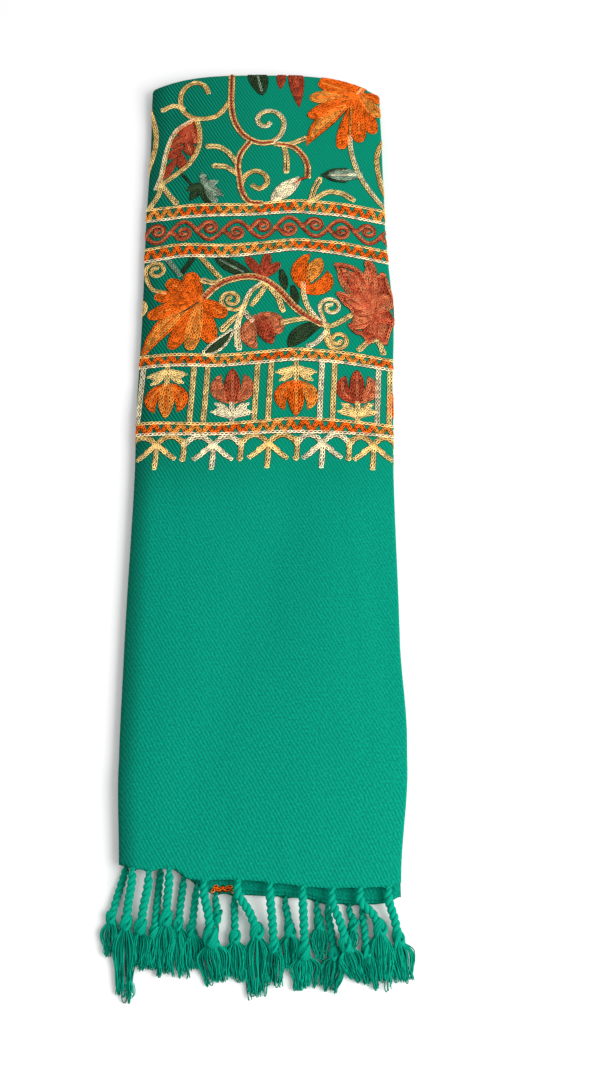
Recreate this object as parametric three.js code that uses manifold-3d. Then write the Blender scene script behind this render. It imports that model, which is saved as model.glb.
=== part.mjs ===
// A wool shawl with a knotted fringe, folded into a long narrow stack and laid flat on a surface.
// Millimetres. X runs across the stack, Y from the fringe to the crosswise fold, and Z up from the surface.
//
// The cloth is folded lengthwise into four layers: both sides to the middle, then in half. That gives one
// thick fold down the left side and two thin ones down the right. The four are then folded crosswise in
// half, so eight layers lie on each other and both fringed ends come together at the near end.
import * as THREE from 'three';
import { mergeVertices } from 'three/addons/utils/BufferGeometryUtils.js';
import Module from 'manifold-3d';

const wasm = await Module();
wasm.setup();

// The cloth and its layers
const clothThickness = 1.6;
const layerPitch = 2.1; // one layer to the next
const seam = 0.3; // between pieces that meet
const airGap = layerPitch - clothThickness; // between two layers
const stackMiddle = 4 * layerPitch - airGap / 2; // height of the plane between the two halves

// The folded stack
const halfWidth = 130;
const foldedLength = 902; // near hem to where the crosswise fold begins
const cornerEase = 17; // how much sooner the fold begins at the corners
const thinFoldReach = layerPitch - airGap / 2; // outer radius of a two-layer fold
const thickFoldReach = 2 * layerPitch - airGap / 2; // outer radius of a four-layer fold
const rightReturn = 14; // how far the outer cloth runs back under itself
const leftReturn = 12;
const lapGap = 1.8; // from the edge of a return to the inner layers beside it
const innerRecess = 14; // where the joined inner layers stop, short of the near hem
const leafOverlap = 9; // how far each inner hem reaches into them
const leafTuck = 0.3; // and how much thinner it is there

const radians = THREE.MathUtils.degToRad;

// Where the two sides of the stack run, at stations along it
const sideLines = [
  { y: 0, left: 126, right: 124.5 },
  { y: 110, left: 131, right: 133 },
  { y: 140, left: 131.5, right: 133.5 },
  { y: 230, left: 131.5, right: 129.5 },
  { y: 400, left: 130, right: 128 },
  { y: 490, left: 131.5, right: 129.5 },
  { y: 580, left: 130.5, right: 132.5 },
  { y: 710, left: 131.5, right: 126.5 },
  { y: 800, left: 130.5, right: 125.5 },
  { y: 880, left: 131.5, right: 124 },
];

// Across the stack: where the upper hem and the lower hem are, above or below y 0. Both run straight
// between these rows, and the cloth has a column of points at each.
const hemLines = [
  { x: -130, upper: 19, lower: 24 },
  { x: -121, upper: 17, lower: 22 },
  { x: -112, upper: 14, lower: 20 },
  { x: -100, upper: 12.5, lower: 20 },
  { x: -90, upper: 14, lower: 19 },
  { x: -80, upper: 15.5, lower: 16 },
  { x: -66, upper: 5, lower: 8 },
  { x: -48, upper: 4, lower: -4 },
  { x: -24, upper: 4.5, lower: -6 },
  { x: 0, upper: 3, lower: -7 },
  { x: 23, upper: 0.5, lower: -8 },
  { x: 45, upper: -2, lower: -10 },
  { x: 62, upper: -3, lower: -14 },
  { x: 84, upper: -2.5, lower: -14.5 },
  { x: 106, upper: -2, lower: -14 },
  { x: 118, upper: -1, lower: -3 },
  { x: 130, upper: 3, lower: 3 },
];

// Soft troughs (and, below 0, ridges) in the upper half: share of its height, along a line
const troughs = [
  { x0: 34, y0: 410, x1: -66, y1: 60, width: 30, depth: 0.2 },
  { x0: 108, y0: 350, x1: 116, y1: 150, width: 16, depth: 0.12 },
  { x0: -104, y0: 850, x1: -96, y1: 560, width: 22, depth: 0.12 },
  { x0: 62, y0: 300, x1: 40, y1: 60, width: 36, depth: -0.12 },
  { x0: 30, y0: 800, x1: 34, y1: 460, width: 34, depth: -0.1 },
  { x0: -20, y0: 700, x1: -48, y1: 500, width: 24, depth: 0.1 },
];

// The fringe: the hem each tassel hangs from, where it leaves it, its knot and the end of its locks. knot
// and fan are half widths, and lift raises a knot over the locks of the tassel beside it.
const tassels = [
  { hem: 'lower', root: -124, knotX: -131, knotY: -27, tipX: -129, tipY: -63, knot: 4.5, fan: 4, lift: 0 },
  { hem: 'upper', root: -117, knotX: -118, knotY: -31, tipX: -116, tipY: -94, knot: 5.2, fan: 5, lift: 0 },
  { hem: 'upper', root: -102, knotX: -105, knotY: -35, tipX: -106, tipY: -72, knot: 5.5, fan: 3.6, lift: 0 },
  { hem: 'lower', root: -92, knotX: -93, knotY: -40, tipX: -97, tipY: -69, knot: 4.5, fan: 2.6, lift: 0 },
  { hem: 'upper', root: -83, knotX: -83, knotY: -28, tipX: -84, tipY: -74, knot: 5.5, fan: 6.2, lift: 0 },
  { hem: 'lower', root: -71, knotX: -72, knotY: -32, tipX: -69, tipY: -77, knot: 4.5, fan: 4.5, lift: 0 },
  { hem: 'lower', root: -59, knotX: -60, knotY: -38, tipX: -57, tipY: -71, knot: 4.5, fan: 4, lift: 0 },
  { hem: 'upper', root: -51, knotX: -42, knotY: -46, tipX: -36, tipY: -83, knot: 6.6, fan: 7, lift: 6.5 },
  { hem: 'lower', root: -41, knotX: -38, knotY: -25, tipX: -48, tipY: -66, knot: 4.2, fan: 2, lift: 0 },
  { hem: 'lower', root: -24, knotX: -22, knotY: -44, tipX: -20, tipY: -79, knot: 5, fan: 6, lift: 0 },
  { hem: 'upper', root: -20, knotX: -3, knotY: -39, tipX: -1, tipY: -95, knot: 6, fan: 6.5, lift: 0 },
  { hem: 'upper', root: 9, knotX: 12, knotY: -51, tipX: 12, tipY: -83, knot: 4.5, fan: 3.6, lift: 0 },
  { hem: 'lower', root: 23, knotX: 26, knotY: -38, tipX: 25, tipY: -73, knot: 5, fan: 4.5, lift: 0 },
  { hem: 'upper', root: 39, knotX: 39, knotY: -57, tipX: 40, tipY: -89, knot: 5.5, fan: 7, lift: 0 },
  { hem: 'lower', root: 52, knotX: 52, knotY: -32, tipX: 54, tipY: -64, knot: 4.5, fan: 3, lift: 0 },
  { hem: 'lower', root: 62, knotX: 65, knotY: -58, tipX: 59, tipY: -88, knot: 4.8, fan: 5, lift: 0 },
  { hem: 'upper', root: 66, knotX: 75, knotY: -51, tipX: 86, tipY: -81, knot: 5.5, fan: 4.5, lift: 6.5 },
  { hem: 'lower', root: 82, knotX: 82, knotY: -33, tipX: 73, tipY: -66, knot: 4.3, fan: 2, lift: 0 },
  { hem: 'lower', root: 94, knotX: 93, knotY: -56, tipX: 97, tipY: -83, knot: 4.3, fan: 2.8, lift: 0 },
  { hem: 'upper', root: 92, knotX: 105, knotY: -36, tipX: 107, tipY: -85, knot: 6, fan: 5, lift: 0 },
  { hem: 'upper', root: 118, knotX: 121, knotY: -45, tipX: 126, tipY: -83, knot: 5.2, fan: 5.5, lift: 0 },
];
const cordRadius = 3; // across its two plies
const lowerCordRadius = 2.6;
const plyFlatness = 0.66;
const cordTurn = 24; // length in which the two plies go once round
const cordSteps = 6; // in one such length
const lockCount = 7;
const lockRadius = 1.1;
const floorGap = 0.6; // under the knots and the lowest locks

const shawlGreen = new THREE.Color(0x079a75);
const fringeGreen = new THREE.Color(0x069471);

// A named column of a table at a value between its rows
function readTable(table, key, column, value, ease = (t) => t) {
  const next = table.findIndex((row) => row[key] >= value);
  if (next === 0) return table[0][column];
  if (next < 0) return table[table.length - 1][column];
  const [a, b] = [table[next - 1], table[next]];
  return THREE.MathUtils.lerp(a[column], b[column], ease((value - a[key]) / (b[key] - a[key])));
}

const hemAt = (hem, u) => readTable(hemLines, 'x', hem, u);
const turnAt = (u) => foldedLength - cornerEase * Math.abs((u + 10) / (halfWidth - 5)) ** 3;

function acrossAt(u, y) {
  const eased = (t) => THREE.MathUtils.smoothstep(t, 0, 1);
  const side = readTable(sideLines, 'y', u < 0 ? 'left' : 'right', y, eased);
  return (u * side) / halfWidth;
}

// How lofty the stack is: full in the middle, pressed at its side folds and towards the hems
function loftAt(u, y) {
  const crown = 1.22 - 0.38 * Math.abs(u / halfWidth) ** 4;
  const press = 0.84 + 0.16 * THREE.MathUtils.smoothstep(y, -20, 110);
  return crown * press;
}

// How much of its height the upper half keeps, for the soft troughs in it
function reliefAt(u, y) {
  let kept = 1;
  for (const { x0, y0, x1, y1, width, depth } of troughs) {
    const [dx, dy] = [x1 - x0, y1 - y0];
    const t = THREE.MathUtils.clamp(((u - x0) * dx + (y - y0) * dy) / (dx * dx + dy * dy), 0, 1);
    const away = Math.hypot(u - x0 - t * dx, y - y0 - t * dy);
    kept -= depth * Math.exp(-((away / width) ** 2));
  }
  return kept;
}

// A point of the folded cloth. u is across and h is up or down from the middle plane of the stack. A
// station is on top, in the crosswise turn (an angle) or under; along is 0 at the hem and 1 at the turn.
function place(u, h, { part, along, angle }, hemY) {
  const turnY = turnAt(u);
  if (part === 'turn') {
    const loft = loftAt(u, turnY);
    const rise = stackMiddle + h * Math.cos(angle);
    return [acrossAt(u, turnY), turnY + h * loft * Math.sin(angle), rise * loft];
  }
  const y = hemY(u) + (turnY - hemY(u)) * along;
  const loft = loftAt(u, y);
  if (part === 'under') return [acrossAt(u, y), y, (stackMiddle - h) * loft];
  const fadeOut = THREE.MathUtils.smoothstep(along, 0.93, 1);
  const relief = THREE.MathUtils.lerp(reliefAt(u, y), 1, fadeOut);
  return [acrossAt(u, y), y, (stackMiddle + h * relief) * loft];
}

const topStations = [
  0, 0.02, 0.06, 0.11, 0.165, 0.22, 0.275, 0.33, 0.385, 0.44, 0.5, 0.57, 0.64, 0.72, 0.8, 0.88, 0.95, 1,
].map((along) => ({ part: 'top', along }));
const underStations = [1, 0.88, 0.72, 0.57, 0.385, 0.22, 0.11, 0.06, 0.02, 0].map((along) => {
  return { part: 'under', along };
});
const turnSteps = 6;
const turnStations = Array.from({ length: turnSteps - 1 }, (_, i) => {
  return { part: 'turn', angle: ((i + 1) * Math.PI) / turnSteps };
});

// The columns of the cloth between two places, in order from the first to the second
function columns(from, to) {
  const between = hemLines.map(({ x }) => x).filter((x) => (x - from) * (x - to) < 0);
  return from < to ? between : between.reverse();
}

function arc(centreU, centreH, radius, from, to, steps) {
  return Array.from({ length: steps + 1 }, (_, i) => {
    const angle = radians(from + ((to - from) * i) / steps);
    return { u: centreU + radius * Math.cos(angle), h: centreH + radius * Math.sin(angle), angle };
  });
}

const rightCentre = halfWidth - thinFoldReach;
const leftCentre = -halfWidth + thickFoldReach;

// The middle line of the outer cloth, seen from its hem: in from the right, round the thin fold, over the
// stack, round the thick fold and in from the left. angle is the way that its outside faces.
function outerLine() {
  const up = radians(90);
  const run = (from, to, h, angle) => columns(from, to).map((u) => ({ u, h, angle }));
  const [rightEnd, leftEnd] = [rightCentre - rightReturn, leftCentre + leftReturn];
  return [
    { u: rightEnd, h: 2.5 * layerPitch, angle: -up },
    ...run(rightEnd, rightCentre, 2.5 * layerPitch, -up),
    ...arc(rightCentre, 3 * layerPitch, layerPitch / 2, -90, 90, 4),
    ...run(rightCentre, leftCentre, 3.5 * layerPitch, up),
    ...arc(leftCentre, 2 * layerPitch, 1.5 * layerPitch, 90, 270, 6),
    ...run(leftCentre, leftEnd, 0.5 * layerPitch, -up),
    { u: leftEnd, h: 0.5 * layerPitch, angle: -up },
  ];
}

// A mesh as a geometry whose faces point out
function solidGeometry(points, faces) {
  let volume = 0;
  const [a, b, c] = [new THREE.Vector3(), new THREE.Vector3(), new THREE.Vector3()];
  for (const [i, j, k] of faces) {
    volume += a.fromArray(points[i]).dot(b.fromArray(points[j]).cross(c.fromArray(points[k])));
  }
  const outward = volume < 0 ? faces.map(([i, j, k]) => [i, k, j]) : faces;
  const geometry = new THREE.BufferGeometry();
  geometry.setAttribute('position', new THREE.Float32BufferAttribute(points.flat(), 3));
  geometry.setIndex(outward.flat());
  return geometry;
}

const quad = (a, b, c, d) => [[a, b, c], [a, c, d]];

// A cloth wall through stations: its outside, its inside, and the rims all round
function clothWall(stations, line, hemY) {
  const points = [];
  for (const station of stations) {
    for (const { u, h, angle } of line) {
      for (const side of [0.5, -0.5]) {
        const out = side * clothThickness;
        points.push(place(u + out * Math.cos(angle), h + out * Math.sin(angle), station, hemY));
      }
    }
  }
  const at = (i, j, side) => (i * line.length + j) * 2 + side;
  const [lastRow, lastColumn] = [stations.length - 1, line.length - 1];
  const faces = [];
  for (let i = 0; i < lastRow; i++) {
    for (let j = 0; j < lastColumn; j++) {
      faces.push(...quad(at(i, j, 0), at(i + 1, j, 0), at(i + 1, j + 1, 0), at(i, j + 1, 0)));
      faces.push(...quad(at(i, j, 1), at(i, j + 1, 1), at(i + 1, j + 1, 1), at(i + 1, j, 1)));
    }
    const [a, b] = [(side) => at(i, lastColumn, side), (side) => at(i + 1, lastColumn, side)];
    faces.push(...quad(at(i, 0, 0), at(i, 0, 1), at(i + 1, 0, 1), at(i + 1, 0, 0)));
    faces.push(...quad(a(0), b(0), b(1), a(1)));
  }
  for (let j = 0; j < lastColumn; j++) {
    faces.push(...quad(at(0, j, 0), at(0, j + 1, 0), at(0, j + 1, 1), at(0, j, 1)));
    faces.push(...quad(at(lastRow, j, 0), at(lastRow, j, 1), at(lastRow, j + 1, 1), at(lastRow, j + 1, 0)));
  }
  return solidGeometry(points, faces);
}

// The triangles of an end: one of any outline seen along Y, a band's (out one way and back the other, with
// its corners in pairs) and a small even ring's
function endFaces(ring) {
  const outline = ring.map(([x, , z]) => new THREE.Vector2(x, z));
  return THREE.ShapeUtils.triangulateShape(outline, []).map((face) => face.toSorted((a, b) => a - b));
}

function bandFaces(ring) {
  const last = ring.length - 1;
  const steps = Array.from({ length: ring.length / 2 - 1 }, (_, i) => i);
  return steps.flatMap((i) => [[i, i + 1, last - i - 1], [i, last - i - 1, last - i]]);
}

const fanFaces = (ring) => Array.from({ length: ring.length - 2 }, (_, i) => [0, i + 1, i + 2]);

// A solid through rings of points, closed at both ends
function ringSolid(rings, facesOfEnd) {
  const count = rings[0].length;
  const faces = [];
  for (let i = 0; i < rings.length - 1; i++) {
    for (let j = 0; j < count; j++) {
      const k = (j + 1) % count;
      faces.push(...quad(i * count + j, i * count + k, (i + 1) * count + k, (i + 1) * count + j));
    }
  }
  const last = (rings.length - 1) * count;
  for (const [a, b, c] of facesOfEnd(rings[0])) faces.push([a, c, b]);
  for (const [a, b, c] of facesOfEnd(rings[rings.length - 1])) faces.push([last + a, last + b, last + c]);
  return solidGeometry(rings.flat(), faces);
}

// Layers 2 to 4 of one half as one body: the thin fold at the right, and the folds inside the thick one
function innerSection() {
  const run = (from, to, h) => columns(from, to).map((u) => ({ u, h }));
  const bottom = airGap / 2;
  const [overRight, top] = [2 * layerPitch - bottom, 3 * layerPitch - bottom];
  const overLeft = 2 * layerPitch - thinFoldReach;
  const [rightEdge, leftEdge] = [rightCentre - rightReturn - lapGap, leftCentre + leftReturn + lapGap];
  return [
    ...arc(rightCentre, layerPitch, thinFoldReach, -90, 90, 4),
    ...run(rightCentre, rightEdge, overRight),
    { u: rightEdge, h: overRight },
    { u: rightEdge, h: top },
    ...run(rightEdge, leftCentre, top),
    ...arc(leftCentre, 2 * layerPitch, thinFoldReach, 90, 270, 4),
    ...run(leftCentre, leftEdge, overLeft),
    { u: leftEdge, h: overLeft },
    { u: leftEdge, h: bottom },
    ...run(leftEdge, rightCentre, bottom),
  ];
}

const manifoldOf = (geometry) => {
  const bare = geometry.clone();
  bare.deleteAttribute('normal');
  bare.deleteAttribute('uv');
  const merged = mergeVertices(bare, 1e-4);
  const vertProperties = new Float32Array(merged.getAttribute('position').array);
  const triVerts = new Uint32Array(merged.getIndex().array);
  return new wasm.Manifold(new wasm.Mesh({ numProp: 3, vertProperties, triVerts }));
};

function geometryOf(manifold) {
  const { vertProperties, triVerts } = manifold.getMesh();
  const geometry = new THREE.BufferGeometry();
  geometry.setAttribute('position', new THREE.Float32BufferAttribute(vertProperties, 3));
  geometry.setIndex(Array.from(triVerts));
  return geometry;
}

function joined(geometries) {
  const whole = geometries.map(manifoldOf).reduce((sum, piece) => sum.add(piece));
  return geometryOf(whole.simplify(0.02));
}

// One inner layer's hem: a thin slab from its own hem line into the joined layers
function hemLeaf({ half, layer, back }) {
  const from = layer === 4 ? leftCentre + leftReturn + lapGap : leftCentre;
  const to = layer === 2 ? rightCentre - rightReturn - lapGap : rightCentre;
  const low = (4 - layer) * layerPitch + airGap / 2;
  const high = low + clothThickness;
  const across = [from, ...columns(from, to), to];
  const corners = [
    ...across.map((u) => ({ u, top: false })),
    ...across.toReversed().map((u) => ({ u, top: true })),
  ];
  const hem = half === 'top' ? 'upper' : 'lower';
  const ring = (inset, tuck) =>
    corners.map(({ u, top }) => {
      const [at, h] = [THREE.MathUtils.clamp(u, from + tuck, to - tuck), top ? high - tuck : low + tuck];
      return place(at, h, { part: half, along: 0 }, (x) => hemAt(hem, x) + inset);
    });
  const rings = [ring(back, 0), ring(innerRecess - 1, 0), ring(innerRecess + leafOverlap, leafTuck)];
  return ringSolid(rings, bandFaces);
}

// Each inner layer, and how far its hem stops behind the hem of its half
const innerHems = [
  { half: 'top', layer: 2, back: 3 },
  { half: 'top', layer: 3, back: 5.5 },
  { half: 'top', layer: 4, back: 4 },
  { half: 'under', layer: 4, back: 2.5 },
  { half: 'under', layer: 3, back: 0 },
  { half: 'under', layer: 2, back: 1.5 },
];

function innerLayers() {
  const path = [...topStations, ...turnStations, ...underStations];
  const section = innerSection();
  const rings = path.map((station) => {
    const hemY = (u) => hemAt(station.part === 'under' ? 'lower' : 'upper', u) + innerRecess;
    return section.map(({ u, h }) => place(u, h, station, hemY));
  });
  return joined([ringSolid(rings, endFaces), ...innerHems.map(hemLeaf)]);
}

// The outer cloth's two laps meet along the crest of the crosswise fold
function outerPanels() {
  const line = outerLine();
  const crestGap = seam / 2 / (4 * layerPitch);
  const crest = (side) => ({ part: 'turn', angle: Math.PI / 2 + side * crestGap });
  const half = (turnSteps - 2) / 2;
  const top = [...topStations, ...turnStations.slice(0, half), crest(-1)];
  const under = [crest(1), ...turnStations.slice(half + 1), ...underStations];
  return {
    top: clothWall(top, line, (u) => hemAt('upper', u)),
    under: clothWall(under, line, (u) => hemAt('lower', u)),
  };
}

// A tapering lock or cord with few sides, through places, each with its radii across and its turn
function twistedBar(path, sides) {
  const rings = path.map(({ point, along, wide, narrow, turn }) => {
    const side = new THREE.Vector3(0, 0, 1).cross(along).normalize();
    const up = along.clone().cross(side).normalize();
    return Array.from({ length: sides }, (_, i) => {
      const angle = (2 * Math.PI * i) / sides;
      const [a, b] = [wide * Math.cos(angle), narrow * Math.sin(angle)];
      const [c, s] = [Math.cos(turn), Math.sin(turn)];
      const corner = point.clone().addScaledVector(side, a * c - b * s);
      return corner.addScaledVector(up, a * s + b * c).toArray();
    });
  });
  return ringSolid(rings, fanFaces);
}

// Where a tassel leaves its hem: in front of all of it that is as wide as the cord's end
function rootOf({ hem, root }, halfWidth) {
  const part = hem === 'upper' ? 'top' : 'under';
  const h = (hem === 'upper' ? 3.5 : 2.2) * layerPitch;
  const [x, , z] = place(root, h, { part, along: 0 }, (u) => hemAt(hem, u));
  const y = Math.min(hemAt(hem, root - halfWidth), hemAt(hem, root + halfWidth)) - seam;
  return new THREE.Vector3(x, y, z);
}

// The twisted cord from the hem to the knot
function tasselCord(row, knotPoint) {
  const radius = row.hem === 'upper' ? cordRadius : lowerCordRadius;
  const rootShare = 0.55;
  const root = rootOf(row, radius * rootShare + 0.3);
  const clear = row.hem === 'upper' ? 12 : 5; // it runs out straight this far, over the hems below
  const route = new THREE.CatmullRomCurve3([
    root,
    root.clone().add(new THREE.Vector3(0, -clear, 0)),
    root.clone().lerp(knotPoint, 0.62).setZ(THREE.MathUtils.lerp(root.z, knotPoint.z, 0.6)),
    knotPoint,
  ]);
  const length = route.getLength();
  const steps = Math.ceil((length / cordTurn) * cordSteps);
  const path = Array.from({ length: steps + 1 }, (_, i) => {
    const t = i / steps;
    const wide = radius * THREE.MathUtils.lerp(rootShare, 1, THREE.MathUtils.smoothstep(t, 0, 0.2));
    const along = i === 0 ? new THREE.Vector3(0, -1, 0) : route.getTangentAt(t);
    const turn = (t * length * 2 * Math.PI) / cordTurn;
    return { point: route.getPointAt(t), along, wide, narrow: wide * plyFlatness, turn };
  });
  return twistedBar(path, 4);
}

// The locks below the knot, in two tiers, fanned out and uneven at their ends
function tasselLocks({ tipX, tipY, knot, fan }, knotPoint, hang) {
  const across = new THREE.Vector3(-hang.y, hang.x, 0);
  const end = new THREE.Vector3(tipX, tipY, floorGap + lockRadius);
  return Array.from({ length: lockCount }, (_, i) => {
    const tier = i % 2;
    const spread = (i / (lockCount - 1)) * 2 - 1;
    const start = knotPoint.clone().addScaledVector(across, spread * knot * 0.5);
    start.z += (tier ? 0.35 : -0.45) * knot;
    const tip = end.clone().addScaledVector(across, spread * fan).addScaledVector(hang, -3 * ((i * 5) % 4));
    tip.z += tier * 2.2;
    const belly = start.clone().lerp(tip, 0.45).addScaledVector(across, spread * fan * 0.4);
    belly.z = THREE.MathUtils.lerp(start.z, tip.z, 0.6);
    const way = new THREE.QuadraticBezierCurve3(start, belly, tip);
    const path = [0, 0.45, 1].map((t) => {
      const wide = lockRadius * (t === 1 ? 0.8 : 1);
      return { point: way.getPoint(t), along: way.getTangent(t), wide, narrow: wide, turn: radians(90) };
    });
    return twistedBar(path, 3);
  });
}

function tassel(row) {
  const { knotX, knotY, tipX, tipY, knot, lift } = row;
  const knotPoint = new THREE.Vector3(knotX, knotY, floorGap + knot * 0.85 + lift);
  const hang = new THREE.Vector3(tipX - knotX, tipY - knotY, 0).normalize();
  const head = new THREE.SphereGeometry(1, 7, 4);
  head.rotateX(radians(90));
  head.scale(knot * 0.95, knot * 1.25, knot * 0.85);
  head.rotateZ(Math.atan2(hang.y, hang.x) + Math.PI / 2);
  head.translate(...knotPoint.toArray());
  return joined([tasselCord(row, knotPoint), head, ...tasselLocks(row, knotPoint, hang)]);
}

const shawl = new THREE.Group();
shawl.name = 'folded_shawl';

function addPiece(name, geometry, color, roughness) {
  const mesh = new THREE.Mesh(geometry, new THREE.MeshStandardMaterial({ color, roughness, metalness: 0 }));
  mesh.name = name;
  shawl.add(mesh);
}

const panels = outerPanels();
addPiece('front_panel', panels.top, shawlGreen, 0.85);
addPiece('back_panel', panels.under, shawlGreen, 0.85);
addPiece('inner_layers', innerLayers(), shawlGreen, 0.9);
tassels.forEach((row, i) => {
  addPiece(`tassel_${row.hem}_${String(i + 1).padStart(2, '0')}`, tassel(row), fringeGreen, 0.9);
});

// The origin is under the middle of the whole, on the surface
const box = new THREE.Box3().setFromObject(shawl);
const centre = box.getCenter(new THREE.Vector3());
shawl.position.set(-centre.x, -centre.y, -box.min.z);

export default shawl;
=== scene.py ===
# A folded wool shawl with chain-stitched flowers and a knotted fringe, dressed over its frame.
import math

import bmesh
import bpy
import numpy as np
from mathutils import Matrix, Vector
from mathutils.geometry import tessellate_polygon


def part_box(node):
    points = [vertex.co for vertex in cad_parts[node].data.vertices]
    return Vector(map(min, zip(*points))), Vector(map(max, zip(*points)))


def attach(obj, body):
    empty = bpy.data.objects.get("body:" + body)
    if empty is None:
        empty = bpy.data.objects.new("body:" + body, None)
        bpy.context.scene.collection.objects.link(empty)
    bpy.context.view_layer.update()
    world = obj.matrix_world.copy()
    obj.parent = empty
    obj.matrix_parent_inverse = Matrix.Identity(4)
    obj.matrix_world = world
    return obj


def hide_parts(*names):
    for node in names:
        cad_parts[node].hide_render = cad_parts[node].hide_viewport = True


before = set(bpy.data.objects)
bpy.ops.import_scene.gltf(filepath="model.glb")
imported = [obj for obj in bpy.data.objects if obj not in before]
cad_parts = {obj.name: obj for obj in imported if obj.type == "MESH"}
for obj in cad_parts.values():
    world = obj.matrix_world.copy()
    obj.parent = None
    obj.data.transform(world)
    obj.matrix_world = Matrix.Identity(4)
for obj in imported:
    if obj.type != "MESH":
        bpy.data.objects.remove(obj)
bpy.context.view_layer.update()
mm = 0.001

# The folded stack in millimetres: x across, y up from the hem line, z above the surface it lies on
fold = {
    "cloth": 1.6,
    "pitch": 2.1,  # one layer to the next
    "halfWidth": 130.0,
    "length": 902.0,
    "cornerEase": 17.0,  # how much sooner the crosswise fold begins at its corners
    "rightReturn": 14.0,
    "leftReturn": 12.0,
    "lapGap": 1.8,
    "innerRecess": 14.0,
    "leafOverlap": 9.0,
    "crestReach": 9.94,  # how far the crosswise fold bulges past the length
    "drawnIn": 4.0,  # how much sooner the soft cloth turns than the fold it is dressed over
    "rightReach": 133.5,  # the widest place on the right
    "crestMiddle": -10.0,  # the crosswise fold turns latest here
    "cornerReach": 125.0,
    "crown": 1.22,  # soft wool stands higher in the middle, as a share
    "crownDrop": 0.38,  # and lower at the sides
    "hemLoft": 0.84,
    "hemRise": 0.16,
    "ripple": 0.014,  # small unevenness of soft wool, as a share of the height
    "fadeFrom": 0.955,  # share of the length where hollows begin to fade, before the crosswise fold
    "fadeOver": 0.045,
    "gather": 2.2,  # how far the hem is drawn out into each tassel
    "gatherWide": 3.6,
}
pitch, cloth, halfWidth = fold["pitch"], fold["cloth"], fold["halfWidth"]
air = pitch - cloth
middle = 4 * pitch - air / 2  # height of the plane between the two halves
thinReach = pitch - air / 2
thickReach = 2 * pitch - air / 2
rightCentre = halfWidth - thinReach
leftCentre = -halfWidth + thickReach
skin = middle  # the outer face is this far from that plane

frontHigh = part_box("front_panel")[1]
shiftX = frontHigh[0] / mm - fold["rightReach"]
shiftY = frontHigh[1] / mm - fold["length"] - fold["crestReach"]

sideLines = {
    "y": [0, 110, 140, 230, 400, 490, 580, 710, 800, 880],
    "left": [126, 131, 131.5, 131.5, 130, 131.5, 130.5, 131.5, 130.5, 131.5],
    "right": [124.5, 133, 133.5, 129.5, 128, 129.5, 132.5, 126.5, 125.5, 124],
}
hemLines = {
    "x": [-130, -121, -112, -100, -90, -80, -66, -48, -24, 0, 23, 45, 62, 84, 106, 118, 130],
    "upper": [19, 17, 14, 12.5, 14, 15.5, 5, 4, 4.5, 3, 0.5, -2, -3, -2.5, -2, -1, 3],
    "lower": [24, 22, 20, 20, 19, 16, 8, -4, -6, -7, -8, -10, -14, -14.5, -14.5, -13, -7],
}
hollowNames = ("x0", "y0", "x1", "y1", "width", "depth")
hollowRows = [  # soft hollows along a line, as a share of the upper half's height; below 0 is a ridge
    (34, 410, -66, 60, 30, 0.2),
    (108, 350, 116, 150, 16, 0.12),
    (-104, 850, -96, 560, 22, 0.12),
    (62, 300, 40, 60, 36, -0.12),
    (30, 800, 34, 460, 34, -0.1),
    (-20, 700, -48, 500, 24, 0.1),
    (-92, 400, -60, 90, 5, 0.035),  # from here on finer creases, in the soft pieces alone
    (70, 420, 96, 120, 7, 0.04),
    (4, 360, -18, 150, 9, -0.03),
    (92, 60, 60, 6, 7, 0.045),
    (-30, 70, -44, 6, 8, 0.05),
    (20, 52, 26, 0, 7, -0.05),
    (-112, 120, -108, 14, 6, 0.045),
    (-60, 900, -52, 760, 12, 0.04),
    (-138, 930, -138, 520, 32, 0.6),  # and the slope down to the thick left fold
    (-138, 520, -138, 120, 18, 0.42),
]
hollows = [dict(zip(hollowNames, row)) for row in hollowRows]
tasselNames = ("hem", "root", "knotX", "knotY", "tipX", "tipY", "knot", "fan", "lift", "strands")
tasselRows = [  # knot and fan are half widths, and lift raises a knot over the yarns beside it
    ("lower", -124, -131, -27, -129, -63, 4.5, 4, 0, 26),
    ("upper", -117, -118, -31, -116, -94, 5.2, 5, 0, 56),
    ("upper", -102, -105, -35, -106, -72, 5.5, 3.6, 0, 60),
    ("lower", -92, -93, -40, -97, -69, 4.5, 2.6, 0, 40),
    ("upper", -83, -83, -28, -84, -74, 5.5, 6.2, 0, 66),
    ("lower", -71, -72, -32, -69, -77, 4.5, 4.5, 0, 50),
    ("lower", -59, -60, -38, -57, -71, 4.5, 4, 0, 46),
    ("upper", -51, -42, -46, -36, -83, 6.6, 7, 6.5, 66),
    ("lower", -41, -38, -25, -48, -66, 4.2, 2, 0, 24),
    ("lower", -24, -22, -44, -20, -79, 5, 6, 0, 60),
    ("upper", -20, -3, -39, -1, -95, 6, 6.5, 0, 66),
    ("upper", 9, 12, -51, 12, -83, 4.5, 3.6, 0, 44),
    ("lower", 23, 26, -38, 25, -73, 5, 4.5, 0, 56),
    ("upper", 39, 39, -57, 40, -89, 5.5, 7, 0, 60),
    ("lower", 52, 52, -32, 54, -64, 4.5, 3, 0, 34),
    ("lower", 62, 65, -58, 59, -88, 4.8, 5, 0, 50),
    ("upper", 66, 75, -51, 86, -81, 5.5, 4.5, 6.5, 60),
    ("lower", 82, 82, -33, 73, -66, 4.3, 2, 0, 30),
    ("lower", 94, 93, -56, 97, -83, 4.3, 2.8, 0, 40),
    ("upper", 92, 105, -36, 107, -85, 6, 5, 0, 66),
    ("upper", 118, 121, -45, 126, -83, 5.2, 5.5, 0, 60),
]
tassels = [dict(zip(tasselNames, row)) for row in tasselRows]


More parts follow.
